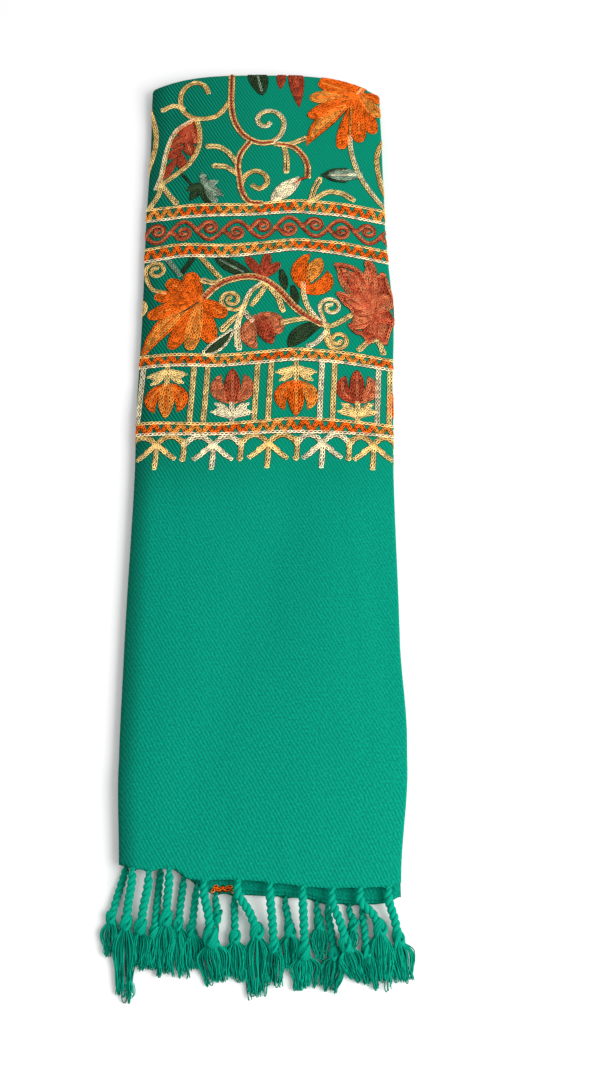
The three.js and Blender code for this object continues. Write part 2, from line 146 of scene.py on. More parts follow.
def tableAt(table, key, column, value, eased=False):
    keys = np.array(table[key], float)
    rows = np.array(table[column], float)
    value = np.clip(value, keys[0], keys[-1])
    i = np.clip(np.searchsorted(keys, value, side="right") - 1, 0, len(keys) - 2)
    t = (value - keys[i]) / (keys[i + 1] - keys[i])
    if eased:
        t = smooth(t)
    return rows[i] + (rows[i + 1] - rows[i]) * t


def smooth(t):
    t = np.clip(t, 0.0, 1.0)
    return t * t * (3 - 2 * t)


def hemAt(hem, u):
    weight = np.zeros_like(u)
    for row in tassels:
        if row["hem"] == hem:
            weight = np.maximum(weight, np.exp(-((u - row["root"]) / fold["gatherWide"]) ** 2))
    return tableAt(hemLines, "x", hem, u) - fold["gather"] * weight


def turnAt(u):
    share = np.abs((u - fold["crestMiddle"]) / fold["cornerReach"])
    return fold["length"] - fold["drawnIn"] - fold["cornerEase"] * share**3


def sideAt(u, y):
    left = tableAt(sideLines, "y", "left", y, eased=True)
    right = tableAt(sideLines, "y", "right", y, eased=True)
    return np.where(u < 0, left, right)


def loftAt(u, y):
    crown = fold["crown"] - fold["crownDrop"] * np.abs(u / halfWidth) ** 4
    return crown * (fold["hemLoft"] + fold["hemRise"] * smooth((y + 20) / 130))


def reliefAt(u, y):
    kept = np.ones_like(u)
    for line in hollows:
        dx, dy = line["x1"] - line["x0"], line["y1"] - line["y0"]
        t = np.clip(((u - line["x0"]) * dx + (y - line["y0"]) * dy) / (dx * dx + dy * dy), 0, 1)
        away = np.hypot(u - line["x0"] - t * dx, y - line["y0"] - t * dy)
        kept = kept - line["depth"] * np.exp(-((away / line["width"]) ** 2))
    wave = np.sin(0.11 * u + 0.043 * y) + np.sin(0.071 * u - 0.09 * y + 1.3)
    return kept + fold["ripple"] * (wave + np.sin(0.19 * u + 0.021 * y + 4)) / 3


def crestBend(u):
    return math.pi * skin * loftAt(u, turnAt(u))


# A point of the folded cloth in metres: u across, h out from the middle plane, and v along the cloth from
# its upper hem line, over the crosswise fold and back to the lower one
def foldPoint(u, h, v):
    u, h, v = np.broadcast_arrays(*(np.asarray(value, float) for value in (u, h, v)))
    turnY = turnAt(u)
    bend = crestBend(u)
    over = v - turnY
    angle = math.pi * np.clip(over / bend, 0, 1)
    y = np.where(over <= 0, v, np.where(over >= bend, 2 * turnY + bend - v, turnY))
    loft = loftAt(u, y)
    hem = tableAt(hemLines, "x", "upper", u)
    fade = smooth(((y - hem) / (turnY - hem) - fold["fadeFrom"]) / fold["fadeOver"])
    relief = np.where(over <= 0, reliefAt(u, y) * (1 - fade) + fade, 1.0)
    x = u * sideAt(u, y) / halfWidth
    z = (middle + h * np.cos(angle) * relief) * loft
    y = y + h * loft * np.sin(angle)
    return np.stack([x + shiftX, y + shiftY, z], axis=-1) * mm


# How far across the even stack a flat place lies, and where the cloth turns there
def evened(x, y):
    turnY = turnAt(np.clip(x, -halfWidth, halfWidth))
    return x * halfWidth / sideAt(x, np.minimum(y, turnY)), turnY


# A place on the outer face, from flat coordinates in millimetres: x wraps round the side folds and y over
# the crosswise one
def skinPoint(x, y, lift):
    s, turnY = evened(x, y)
    right = np.clip((s - rightCentre) / thinReach, 0, math.pi)
    left = np.clip((leftCentre - s) / thickReach, 0, math.pi)
    past = np.maximum(s - rightCentre - math.pi * thinReach, 0)
    past = past - np.maximum(leftCentre - s - math.pi * thickReach, 0)
    u = np.clip(s, leftCentre, rightCentre) - past
    u = u + (thinReach + lift) * np.sin(right) - (thickReach + lift) * np.sin(left)
    h = np.where(s > rightCentre, 3 * pitch + (thinReach + lift) * np.cos(right), skin + lift)
    h = np.where(s < leftCentre, 2 * pitch + (thickReach + lift) * np.cos(left), h)
    under = y > turnY + crestBend(u) * 0.98
    return foldPoint(u, np.where(under, np.minimum(h, skin), h), y)


# Mesh helpers
def addObject(name, data):
    made = bpy.data.objects.new(name, data)
    bpy.context.scene.collection.objects.link(made)
    return made


def meshObject(name, points, faces, material, uv=None, tone=None):
    mesh = bpy.data.meshes.new(name)
    mesh.from_pydata([tuple(p) for p in points], [], [tuple(int(i) for i in f) for f in faces])
    mesh.validate()
    if uv is not None:
        corners = np.zeros(len(mesh.loops), np.int32)
        mesh.loops.foreach_get("vertex_index", corners)
        layer = mesh.uv_layers.new(name="cloth")
        layer.data.foreach_set("uv", np.asarray(uv, np.float32)[corners].ravel())
    if tone is not None:
        layer = mesh.attributes.new("tone", "FLOAT", "POINT")
        layer.data.foreach_set("value", np.asarray(tone, np.float32))
    mesh.polygons.foreach_set("use_smooth", [True] * len(mesh.polygons))
    mesh.materials.append(material)
    return addObject(name, mesh)


# Lines as a mesh of edges, with a named value at each point
def linesObject(name, lines, values):
    edges, start = [], 0
    for line in lines:
        edges += [(start + i, start + i + 1) for i in range(len(line) - 1)]
        start += len(line)
    mesh = bpy.data.meshes.new(name)
    mesh.from_pydata([tuple(p) for p in np.vstack(lines) * mm], edges, [])
    for label, column in values.items():
        mesh.attributes.new(label, "FLOAT", "POINT").data.foreach_set("value", column.astype(np.float32))
    return addObject(name, mesh)


def gridFaces(rows, columns, start=0, flip=False):
    i, j = np.meshgrid(np.arange(rows - 1), np.arange(columns - 1), indexing="ij")
    a = start + i * columns + j
    order = [a, a + columns, a + columns + 1, a + 1]
    if flip:
        order.reverse()
    return np.stack(order, axis=-1).reshape(-1, 4)


# Faces round a tube of rings that all have the same number of points
def tubeFaces(rings, count):
    base = np.arange(count)
    faces = []
    for i in range(rings - 1):
        a, b = i * count + base, i * count + np.roll(base, -1)
        faces.append(np.stack([a, b, b + count, a + count], axis=1))
    return faces


# Four-sided faces of a closed shell, turned round if its volume comes out below nothing
def outward(points, faces):
    a, b, c, d = (points[faces[:, k]] for k in range(4))
    volume = np.einsum("ij,ij->i", a, np.cross(b, c)) + np.einsum("ij,ij->i", a, np.cross(c, d))
    return faces[:, ::-1] if volume.sum() < 0 else faces


def facedOut(piece):
    work = bmesh.new()
    work.from_mesh(piece.data)
    bmesh.ops.recalc_face_normals(work, faces=work.faces)
    work.to_mesh(piece.data)
    work.free()
    return piece


# A smooth line through a few points, as points about one step apart; a closed one ends where it began
def curveThrough(points, step=1.2, closed=False):
    points = np.asarray(points, float)
    if len(points) == 2:
        count = max(2, int(np.linalg.norm(points[1] - points[0]) / step) + 1)
        return points[0] + (points[1] - points[0]) * np.linspace(0, 1, count)[:, None]
    if closed:
        padded = np.vstack([points[-1], points, points[:2]])
    else:
        padded = np.vstack([2 * points[0] - points[1], points, 2 * points[-1] - points[-2]])
    line = []
    for a, b, c, d in zip(padded, padded[1:], padded[2:], padded[3:]):
        count = max(2, int(np.linalg.norm(c - b) / step) + 1)
        t = np.linspace(0, 1, count, endpoint=False)[:, None]
        line.append(0.5 * (
            2 * b + (c - a) * t + (2 * a - 5 * b + 4 * c - d) * t**2 + (3 * b - a - 3 * c + d) * t**3
        ))
    return np.vstack(line + [line[0][0] if closed else points[-1]])


def tangents(line):
    along = np.gradient(line, axis=0)
    return along / np.maximum(np.linalg.norm(along, axis=1, keepdims=True), 1e-9)


# A flat line moved to its left by a distance, or by one for each point
def aside(line, distance):
    along = tangents(line)
    return line + np.stack([-along[:, 1], along[:, 0]], axis=1) * np.asarray(distance).reshape(-1, 1)


# Node tree helpers
def newTree(name, kind, inputs, outputs):
    tree = bpy.data.node_groups.new(name, kind)
    for label, socketKind, value in inputs:
        socket = tree.interface.new_socket(label, in_out="INPUT", socket_type=socketKind)
        if value is not None:
            socket.default_value = value
    for label, socketKind in outputs:
        tree.interface.new_socket(label, in_out="OUTPUT", socket_type=socketKind)
    return tree, tree.nodes.new("NodeGroupInput").outputs, tree.nodes.new("NodeGroupOutput").inputs


# A node with its settings; a value that is a socket is linked, and any other is set on the input itself
def node(tree, kind, inputs=None, **settings):
    made = tree.nodes.new(kind)
    for key, value in settings.items():
        setattr(made, key, value)
    for key, value in (inputs or {}).items():
        if isinstance(key, int):
            socket = made.inputs[key]
        else:
            socket = next(s for s in made.inputs if s.name == key and s.enabled)
        if isinstance(value, bpy.types.NodeSocket):
            tree.links.new(value, socket)
        else:
            socket.default_value = value
    return made


def result(made, label=None):
    return next(s for s in made.outputs if s.enabled and label in (None, s.name))


def maths(tree, operation, a, b=0.0, c=0.0):
    return node(tree, "ShaderNodeMath", {0: a, 1: b, 2: c}, operation=operation).outputs[0]


def namedValue(tree, name):
    read = node(tree, "GeometryNodeInputNamedAttribute", {"Name": name}, data_type="FLOAT")
    return result(read, "Attribute")


# The end of each Geometry Nodes tree: real, smooth geometry in the material given
def finishTree(tree, grown, given, put):
    real = node(tree, "GeometryNodeRealizeInstances", {"Geometry": result(grown)})
    soft = node(tree, "GeometryNodeSetShadeSmooth", {"Geometry": result(real)})
    worn = node(tree, "GeometryNodeSetMaterial", {"Geometry": result(soft), "Material": given["Material"]})
    tree.links.new(result(worn), put[0])
    return tree


# Runs a Geometry Nodes tree on an object and leaves the result as its plain mesh
def growPiece(piece, tree, values):
    modifier = piece.modifiers.new(tree.name, "NODES")
    modifier.node_group = tree
    for item in tree.interface.items_tree:
        if item.item_type == "SOCKET" and item.in_out == "INPUT" and item.name in values:
            modifier[item.identifier] = values[item.name]
    evaluated = piece.evaluated_get(bpy.context.evaluated_depsgraph_get())
    grown = bpy.data.meshes.new_from_object(evaluated)
    piece.modifiers.remove(modifier)
    piece.data = grown


# Materials
def linear(red, green, blue):
    def one(value):
        value /= 255
        return value / 12.92 if value <= 0.04045 else ((value + 0.055) / 1.055) ** 2.4

    return (one(red), one(green), one(blue), 1.0)


def shade(colour, factor):
    return tuple(channel * factor for channel in colour[:3]) + (1.0,)


# Twill lines on cloth: two sines across the ribs and along the yarn, a little wandering
def makeTwillGroup():
    tree, given, put = newTree("twillWeave", "ShaderNodeTree", [
        ("Vector", "NodeSocketVector", None),
        ("Rib", "NodeSocketFloat", 0.0028),
        ("Lean", "NodeSocketFloat", 0.58),
        ("Yarn", "NodeSocketFloat", 0.0011),
    ], [("Height", "NodeSocketFloat"), ("Tone", "NodeSocketFloat")])
    wander = node(tree, "ShaderNodeTexNoise", {"Vector": given["Vector"], "Scale": 70.0, "Detail": 3.0})
    x, y = node(tree, "ShaderNodeSeparateXYZ", {0: given["Vector"]}).outputs[:2]
    leaning = maths(tree, "MULTIPLY_ADD", y, given["Lean"], x)
    phase = maths(tree, "DIVIDE", leaning, given["Rib"])
    phase = maths(tree, "MULTIPLY_ADD", result(wander), 0.9, phase)
    turn = maths(tree, "MULTIPLY", phase, math.tau)
    rib = maths(tree, "MULTIPLY_ADD", maths(tree, "SINE", turn), 0.5, 0.5)
    across = maths(tree, "DIVIDE", maths(tree, "MULTIPLY_ADD", x, -0.4, y), given["Yarn"])
    yarn = maths(tree, "SINE", maths(tree, "MULTIPLY", across, math.tau))
    yarn = maths(tree, "MULTIPLY_ADD", yarn, 0.5, 0.5)
    crown = maths(tree, "POWER", rib, 0.7)
    height = maths(tree, "MULTIPLY", crown, maths(tree, "MULTIPLY_ADD", yarn, 0.3, 0.7))
    tone = maths(tree, "MULTIPLY", crown, maths(tree, "MULTIPLY_ADD", yarn, 0.35, 0.65))
    tree.links.new(height, put["Height"])
    tree.links.new(tone, put["Tone"])
    return tree


# Fine fibres: stretched noise that both bumps and tints wool
def makeFibreGroup():
    tree, given, put = newTree("woolFibre", "ShaderNodeTree", [
        ("Vector", "NodeSocketVector", None),
        ("Scale", "NodeSocketFloat", 900.0),
    ], [("Height", "NodeSocketFloat"), ("Tone", "NodeSocketFloat")])
    fine = node(tree, "ShaderNodeTexNoise", {
        "Vector": given["Vector"], "Scale": given["Scale"], "Detail": 3.0, "Roughness": 0.6,
    })
    broad = node(tree, "ShaderNodeTexNoise", {"Vector": given["Vector"], "Scale": 9.0, "Detail": 3.0})
    tree.links.new(result(fine), put["Height"])
    tree.links.new(result(broad), put["Tone"])
    return tree


twillGroup = makeTwillGroup()
fibreGroup = makeFibreGroup()


def newMaterial(name, roughness, sheen, sheenTint):
    material = bpy.data.materials.new(name)
    material.use_nodes = True
    shader = material.node_tree.nodes["Principled BSDF"]
    settings = {
        "Roughness": roughness, "Specular IOR Level": 0.06,
        "Sheen Weight": sheen, "Sheen Roughness": 0.45, "Sheen Tint": sheenTint,
    }
    for label, value in settings.items():
        shader.inputs[label].default_value = value
    return material, material.node_tree, shader


def blendColours(tree, factor, a, b):
    return node(tree, "ShaderNodeMix", {0: factor, 6: a, 7: b}, data_type="RGBA").outputs[2]


def easedMask(tree, value, ends, low=0.0, high=1.0):
    return result(node(tree, "ShaderNodeMapRange", {
        "Value": value, "From Min": ends[0], "From Max": ends[1], "To Min": low, "To Max": high,
    }, interpolation_type="SMOOTHSTEP"), "Result")


def bumped(tree, shader, height, strength, distance):
    bump = node(tree, "ShaderNodeBump", {"Height": height, "Strength": strength, "Distance": distance})
    tree.links.new(bump.outputs[0], shader.inputs["Normal"])


finish = {
    "cloth": linear(0, 153, 127),
    "clothGroove": linear(0, 126, 103),
    "shadedEndCloth": linear(0, 144, 113),  # painted shade at the embroidered end: darker cloth standing in for the light falling off there and the threads' shadows
    "shadedEndGroove": linear(0, 34, 24),
    "shadedEndFrom": (0.35, 0.47),  # metres above the hem
    "grooveShadeAcross": (-0.12, -0.25),  # metres across the sheet, where the painted shade in the grooves begins to deepen and is full, towards the left
    "rightGrooveShare": 0.4,  # how much of that painted groove shade is left on the right
    "pressed": (-0.252, -0.275),  # metres across, where painted shade darkens the cloth towards the thick left fold
    "pressedShare": 0.62,
    "grain": 4.0,  # unevenness of the plain cloth's tone
    "grainRest": 0.15,
    "fringe": linear(0, 166, 136),
    "twillRib": 0.0036,
    "twillBump": 0.8,
}
threads = {  # the embroidery wools
    "cream": linear(253, 219, 144),
    "pale": linear(254, 241, 200),
    "gold": linear(240, 192, 112),
    "orange": linear(254, 114, 26),
    "amber": linear(254, 160, 66),
    "rust": linear(192, 80, 50),
    "clay": linear(224, 130, 84),
    "dark": linear(52, 76, 48),
    "grey": linear(148, 172, 148),
}


def makeCloth():
    material, tree, shader = newMaterial("shawlTwill", 0.85, 0.12, finish["cloth"])
    uv = node(tree, "ShaderNodeUVMap", uv_map="cloth").outputs[0]
    twill = node(tree, "ShaderNodeGroup", {"Vector": uv, "Rib": finish["twillRib"]}, node_tree=twillGroup)
    twill = twill.outputs
    fibre = node(tree, "ShaderNodeGroup", {"Vector": uv, "Scale": 460.0}, node_tree=fibreGroup).outputs
    across, along = node(tree, "ShaderNodeSeparateXYZ", {0: uv}).outputs[:2]
    # Painted shade: towards the embroidered end the cloth is coloured darker and its grooves deeper, standing
    # in for falling light and the threads' shadows
    weight = easedMask(tree, along, finish["shadedEndFrom"])
    # Painted shade: the grooves at the embroidered end are darker towards the left, as if grazed by light
    # from the right
    leftGrooveShade = easedMask(tree, across, finish["grooveShadeAcross"], low=finish["rightGrooveShare"])
    pressed = easedMask(tree, across, finish["pressed"], high=finish["pressedShare"])
    grooves = maths(tree, "MULTIPLY", maths(tree, "SUBTRACT", 1.0, twill["Tone"]), leftGrooveShade)
    rest = finish["grainRest"] - 0.5 * finish["grain"]
    grain = maths(tree, "MULTIPLY_ADD", fibre["Height"], finish["grain"], rest)
    plain = maths(tree, "MULTIPLY_ADD", twill["Tone"], 0.6, grain)
    ribs = blendColours(tree, plain, finish["clothGroove"], finish["cloth"])
    shadedEndRibs = blendColours(tree, grooves, finish["shadedEndCloth"], finish["shadedEndGroove"])
    ribs = blendColours(tree, weight, ribs, shadedEndRibs)
    patches = maths(tree, "MULTIPLY_ADD", fibre["Tone"], 0.5, -0.1)
    colour = blendColours(tree, patches, ribs, shade(finish["clothGroove"], 1.1))
    # Painted shade along the rounded left fold
    colour = blendColours(tree, pressed, colour, shade(finish["clothGroove"], 0.2))
    tree.links.new(colour, shader.inputs["Base Color"])
    height = maths(tree, "MULTIPLY_ADD", fibre["Height"], 0.8, twill["Height"])
    bumped(tree, shader, height, finish["twillBump"], 0.0007)
    return material


# Wool yarn: each stitch or strand has its own tone, and the low tones of the pads and beds paint shade down
# between the rows
def makeYarn(name, colour, darkest, brightest, sheen):
    material, tree, shader = newMaterial(name, 0.8, sheen, colour)
    place = node(tree, "ShaderNodeTexCoord").outputs["Object"]
    fibre = node(tree, "ShaderNodeGroup", {"Vector": place, "Scale": 1100.0}, node_tree=fibreGroup)
    fibre = fibre.outputs["Height"]
    tone = node(tree, "ShaderNodeAttribute", attribute_name="tone").outputs["Fac"]
    tone = maths(tree, "MULTIPLY_ADD", maths(tree, "SUBTRACT", fibre, 0.5), 0.5, tone)
    colour = blendColours(tree, tone, shade(colour, darkest), shade(colour, brightest))
    tree.links.new(colour, shader.inputs["Base Color"])
    bumped(tree, shader, fibre, 0.35, 0.0004)
    return material


clothMaterial = makeCloth()
fringeMaterial = makeYarn("fringeYarn", finish["fringe"], 0.2, 1.0, 0.12)
threadMaterials = {}
for name, colour in threads.items():
    threadMaterials[name] = makeYarn(name + "Wool", colour, 0.03, 1.47, 0.05)


# The outer cloth: a thin shell from its right return, over the stack, to its left return
shawlSizes = {"across": 80, "along": 212, "turn": 18, "under": 74}  # rows and columns of the mesh


def run(start, end, h, angle, steps):
    t = np.linspace(0, 1, steps + 1)
    return np.stack([start + (end - start) * t, np.full_like(t, h), np.full_like(t, angle)], axis=1)


def arc(centreU, centreH, radius, start, end, steps):
    angle = np.radians(np.linspace(start, end, steps + 1))
    return np.stack([centreU + radius * np.cos(angle), centreH + radius * np.sin(angle), angle], axis=1)


def outerLine():
    up = math.pi / 2
    rightEnd, leftEnd = rightCentre - fold["rightReturn"], leftCentre + fold["leftReturn"]
    line = np.vstack([
        run(rightEnd, rightCentre, 2.5 * pitch, -up, 4),
        arc(rightCentre, 3 * pitch, pitch / 2, -90, 90, 8)[1:],
        run(rightCentre, leftCentre, 3.5 * pitch, up, shawlSizes["across"])[1:],
        arc(leftCentre, 2 * pitch, 1.5 * pitch, 90, 270, 12)[1:],
        run(leftCentre, leftEnd, 0.5 * pitch, -up, 4)[1:],
    ])
    steps = np.linalg.norm(np.diff(line[:, :2], axis=0), axis=1)
    return line, np.concatenate([[0], np.cumsum(steps)])


# Path coordinates down each column: from the upper hem, over the crosswise fold and back to the lower hem
def stations(u, upper, lower, sizes):
    turnY, bend = turnAt(u), crestBend(u)
    rows = [upper + (turnY - upper) * t for t in np.linspace(0, 1, sizes["along"] + 1)]
    rows += [turnY + bend * t for t in np.linspace(0, 1, sizes["turn"] + 1)[1:]]
    rows += [turnY + bend + (turnY - lower) * t for t in np.linspace(0, 1, sizes["under"] + 1)[1:]]
    return np.array(rows)


def makeShawl():
    line, reach = outerLine()
    u, h, angle = line.T
    v = stations(u, hemAt("upper", u), hemAt("lower", u), shawlSizes)
    count = len(line)
    shells = []
    for out in (cloth / 2, -cloth / 2):
        shells.append(foldPoint(u + out * np.cos(angle), h + out * np.sin(angle), v).reshape(-1, 3))
    points = np.vstack(shells)
    rows, inner = len(v), len(v) * count
    faces = [gridFaces(rows, count), gridFaces(rows, count, inner, flip=True)]
    down, over = np.arange(rows - 1) * count, np.arange(count - 1)
    last = (rows - 1) * count
    rims = ((down, count, 1), (down + count - 1, count, -1), (over, 1, -1), (over + last, 1, 1))
    for a, step, order in rims:
        rim = np.stack([a, a + inner, a + inner + step, a + step], axis=1)
        faces.append(rim[:, ::order])
    faces = outward(points, np.vstack(faces))
    uv = np.stack([np.broadcast_to(-reach, v.shape), v], axis=-1).reshape(-1, 2) * mm
    return meshObject("shawlCloth", points, faces, clothMaterial, uv=np.vstack([uv, uv]))


print("outer cloth")
shawl = makeShawl()


# The folded layers inside: one body, with the six hems before it
innerSizes = {"across": 40, "along": 70, "turn": 14, "under": 60}
innerHems = [  # the half each hem is on, its layer and how far it lies back from the outer one
    ("upper", 2, 3),
    ("upper", 3, 5.5),
    ("upper", 4, 4),
    ("lower", 4, 2.5),
    ("lower", 3, 0),
    ("lower", 2, 1.5),
]


def innerSection():
    bottom = air / 2
    overRight, top, overLeft = 2 * pitch - bottom, 3 * pitch - bottom, 2 * pitch - thinReach
    rightEdge = rightCentre - fold["rightReturn"] - fold["lapGap"]
    leftEdge = leftCentre + fold["leftReturn"] + fold["lapGap"]
    parts = [
        arc(rightCentre, pitch, thinReach, -90, 90, 8),
        run(rightCentre, rightEdge, overRight, 0, 4)[1:],
        run(rightEdge, leftCentre, top, 0, innerSizes["across"]),
        arc(leftCentre, 2 * pitch, thinReach, 90, 270, 8)[1:],
        run(leftCentre, leftEdge, overLeft, 0, 4)[1:],
        run(leftEdge, rightCentre, bottom, 0, innerSizes["across"])[:-1],
    ]
    return np.vstack(parts)[:, :2]


# The path coordinate v of a place at y on one half
def pathAt(half, u, y):
    return y if half == "upper" else 2 * turnAt(u) + crestBend(u) - y


def makeInner():
    section = innerSection()
    u, h = section.T
    upper, lower = (tableAt(hemLines, "x", half, u) + fold["innerRecess"] for half in ("upper", "lower"))
    v = stations(u, upper, lower, innerSizes)
    count = len(section)
    faces = np.vstack(tubeFaces(len(v), count)).tolist()
    last = (len(v) - 1) * count
    for corners in tessellate_polygon([[Vector((a, b, 0)) for a, b in section]]):
        faces += [list(corners), [last + k for k in corners]]
    uv = np.stack([np.broadcast_to(u, v.shape), v], axis=-1).reshape(-1, 2) * mm
    parts = [(foldPoint(u, h, v).reshape(-1, 3), faces, uv)] + [hemLeaf(*row) for row in innerHems]
    starts = np.cumsum([0] + [len(part[0]) for part in parts])
    faces = [[k + start for k in face] for start, part in zip(starts, parts) for face in part[1]]
    points, uv = (np.vstack([part[k] for part in parts]) for k in (0, 2))
    return facedOut(meshObject("innerFolds", points, faces, clothMaterial, uv=uv))


# One inner hem: a thin slab from its own hem line into the body
def hemLeaf(half, layer, back):
    low = (4 - layer) * pitch + air / 2
    start = leftCentre + (fold["leftReturn"] + fold["lapGap"] if layer == 4 else 0)
    end = rightCentre - (fold["rightReturn"] + fold["lapGap"] if layer == 2 else 0)
    u = np.linspace(start, end, 64)
    hem = tableAt(hemLines, "x", half, u)
    wavy = 0.5 * np.sin(0.23 * u + layer) + 0.35 * np.sin(0.61 * u + 2 * layer)
    deepest = fold["innerRecess"] + fold["leafOverlap"]
    rings = []
    for depth, tuck in ((back + wavy, 0), (back + 2.5, 0), (7.0, 0), (deepest, 0.3)):
        v = pathAt(half, u, hem + depth)
        lower, upper = foldPoint(u, low + tuck, v), foldPoint(u, low + cloth - tuck, v)
        rings.append(np.vstack([lower, upper[::-1]]))
    points = np.vstack(rings)
    count = len(rings[0])
    k = np.arange(len(u) - 1)
    cap = np.stack([k, k + 1, count - 2 - k, count - 1 - k], axis=1)
    faces = tubeFaces(len(rings), count) + [cap[:, ::-1], cap + (len(rings) - 1) * count]
    faces = outward(points, np.vstack(faces))
    across = np.tile(np.concatenate([u, u[::-1]]), len(rings))
    along = np.repeat([0.0, 3.0, 7.0, 20.0], count)
    return points, faces.tolist(), np.stack([across, along], axis=1) * mm


print("inner folds")
inner = makeInner()


# Embroidery. Rows are flat lines in the stack's own millimetres; pads are thin fills under closed rows,
# painted dark as the shade between the stitches
stitch = {
    "length": 4.2,
    "width": 3.05,
    "yarn": 0.39,  # radius
    "uneven": 0.14,
    "rowGap": 2.8,
    "lift": 0.45,  # of a row's middle above the cloth
    "coreLift": 0.5,  # how much higher the middle rows of a vine lie than its outer ones
    "sideWide": 0.8,  # how wide those outer ones are, as a share
    "bedWidth": 1.22,  # of the low ridge under a row, painted dark as shadow, as a share of the row's width
    "bedHeight": 0.4,
    "shadowBedTone": 0.02,
    "padShadeTone": 0.2,
    "padHeight": 0.4,
    "padSpread": 0.7,  # how far a pad, with its painted-shadow rim, reaches past its petal's outer row
    "firstRow": 0.42,  # the outer row of a petal lies in from its outline, in row gaps
    "settle": (1.0, 1.6, 2.4),  # how much lower it all sits: everywhere, over the crown and more up there
    "settleFrom": 440,
    "settleOver": 460,
    "rightEnd": 2.5,  # how far round each side fold the pattern goes, in the fold's own radii
    "leftEnd": 2.7,
    "crestEnd": 0.64,  # and over the crosswise one, as a share of its bend
}
curlRows = {"gap": 2.1, "wide": 0.85}
rows = {name: [] for name in threads}
pads = {name: [] for name in threads}


# The pattern as drawn was a little high against the crown of the cloth
def settled(line):
    allOver, crown, higher = stitch["settle"]
    up = np.clip((line[:, 1] - stitch["settleFrom"]) / stitch["settleOver"], 0, 1)
    middleShare = np.clip(1 - np.abs(line[:, 0] / 133) ** 4, 0, 1)
    return np.column_stack([line[:, 0], line[:, 1] - allOver - (crown + higher * up) * middleShare])


# Where the outer face is stitched: round the side folds and over the crosswise one, but not what is hidden
def onFace(line):
    s, turnY = evened(line[:, 0], line[:, 1])
    bend = crestBend(np.clip(s, -halfWidth, halfWidth))
    right = s < rightCentre + stitch["rightEnd"] * thinReach
    left = s > leftCentre - stitch["leftEnd"] * thickReach
    return right & left & (line[:, 1] < turnY + stitch["crestEnd"] * bend)


# One row of stitches, in as many parts as show
def stitchRow(colour, line, lift=0.0, wide=1.0):
    line = settled(np.asarray(line, float))
    seen = onFace(line)
    for part in np.split(np.arange(len(line)), np.flatnonzero(np.diff(seen.astype(int))) + 1):
        if len(part) > 2 and seen[part[0]]:
            extra = np.broadcast_to([stitch["lift"] + lift, wide], (len(part), 2))
            rows[colour].append(np.column_stack([line[part], extra]))


# Rows side by side; colours are named from the left of the line to its right
def sideBySide(line, colours, gap, wide, lift=0.0):
    for i, colour in enumerate(colours):
        core = 0 < i < len(colours) - 1
        raised = stitch["coreLift"] if core else 0.0
        share = stitch["sideWide"] if len(colours) > 2 and not core else 1.0
        stitchRow(colour, aside(line, ((len(colours) - 1) / 2 - i) * gap), lift + raised, wide * share)


def vine(points, *colours, gap=stitch["rowGap"], lift=0.0, wide=1.0):
    sideBySide(curveThrough(points), colours, gap, wide, lift)


# A petal or leaf: rows that follow its outline, one inside the other, over a thin pad
def petal(
    colour, base, tip, width, bend=0.0, peak=0.55, foot=0.4, sharp=0.8, edge=None, heart=None, lift=0.0
):
    base, tip = np.asarray(base, float), np.asarray(tip, float)
    way = tip - base
    length = np.linalg.norm(way)
    normal = np.array([-way[1], way[0]]) / length
    t = np.linspace(0, 1, max(14, int(length / 1.3)))
    spine = base + way * t[:, None] + normal * (4 * bend * t * (1 - t))[:, None]
    rise = foot + (1 - foot) * np.sin(math.pi / 2 * np.clip(t / peak, 0, 1))
    fall = np.cos(math.pi / 2 * np.clip((t - peak) / (1 - peak), 0, 1)) ** sharp
    half = width / 2 * np.where(t < peak, rise, fall)
    gap, first = stitch["rowGap"], stitch["firstRow"]
    ring = 0
    while True:
        offset = half - (first + ring) * gap
        keep = np.flatnonzero(offset > 0.3 * gap)
        if len(keep) < 4:
            break
        inside = slice(keep[0], keep[-1] + 1)
        left, right = aside(spine, offset)[inside], aside(spine, -offset)[inside]
        turn = spine[max(keep[-1] - 1, 0)] + way / length * gap * 0.35
        outline = np.vstack([left, turn, right[::-1]])
        stitchRow(edge if edge and ring == 0 else colour, outline, lift)
        ring += 1
    core = np.flatnonzero(half - (first + ring) * gap > -0.4 * gap)
    if len(core) or not ring:
        low, high = (core[0], core[-1]) if len(core) else (0, len(t) - 1)
        stitchRow(heart or colour, spine[max(low - 1, 0):high + 3], lift)
    elif heart:
        stitchRow(heart, spine[int(0.15 * len(t)):int(0.85 * len(t))], lift + 0.2)
    steps = np.linspace(0, len(t) - 1, max(5, int(length / 4))).astype(int)
    pads[colour].append((settled(spine[steps]), aside(spine, 1.0)[steps] - spine[steps], half[steps], lift))


# A sprig: two rows up to a round end, opening from one gap to another
def sprig(colour, points, gaps=(2.5, 3.6)):
    line = curveThrough(points)
    half = np.linspace(gaps[0], 0.8 * gaps[1], len(line)) / 2
    way = (line[-1] - line[-2]) / np.linalg.norm(line[-1] - line[-2])
    around = [aside(line, half), line[-1] + way * half[-1], aside(line, -half)[::-1]]
    stitchRow(colour, np.vstack(around))


# A broad lobed leaf: petals out to its lobes, then rows along its outline
def lobedLeaf(colours, heart, lobes, outline):
    edge = curveThrough(outline, closed=True)
    for i, (tipX, tipY, width) in enumerate(lobes):
        petal(colours[i % 2], heart, (tipX, tipY), width, peak=0.62, foot=0.3, sharp=0.7,
              heart=colours[(i + 1) % 2], lift=0.12 * (i % 3))
    for inset, colour in ((1.1, colours[0]), (3.5, colours[1])):
        stitchRow(colour, aside(edge, -inset), 0.45)


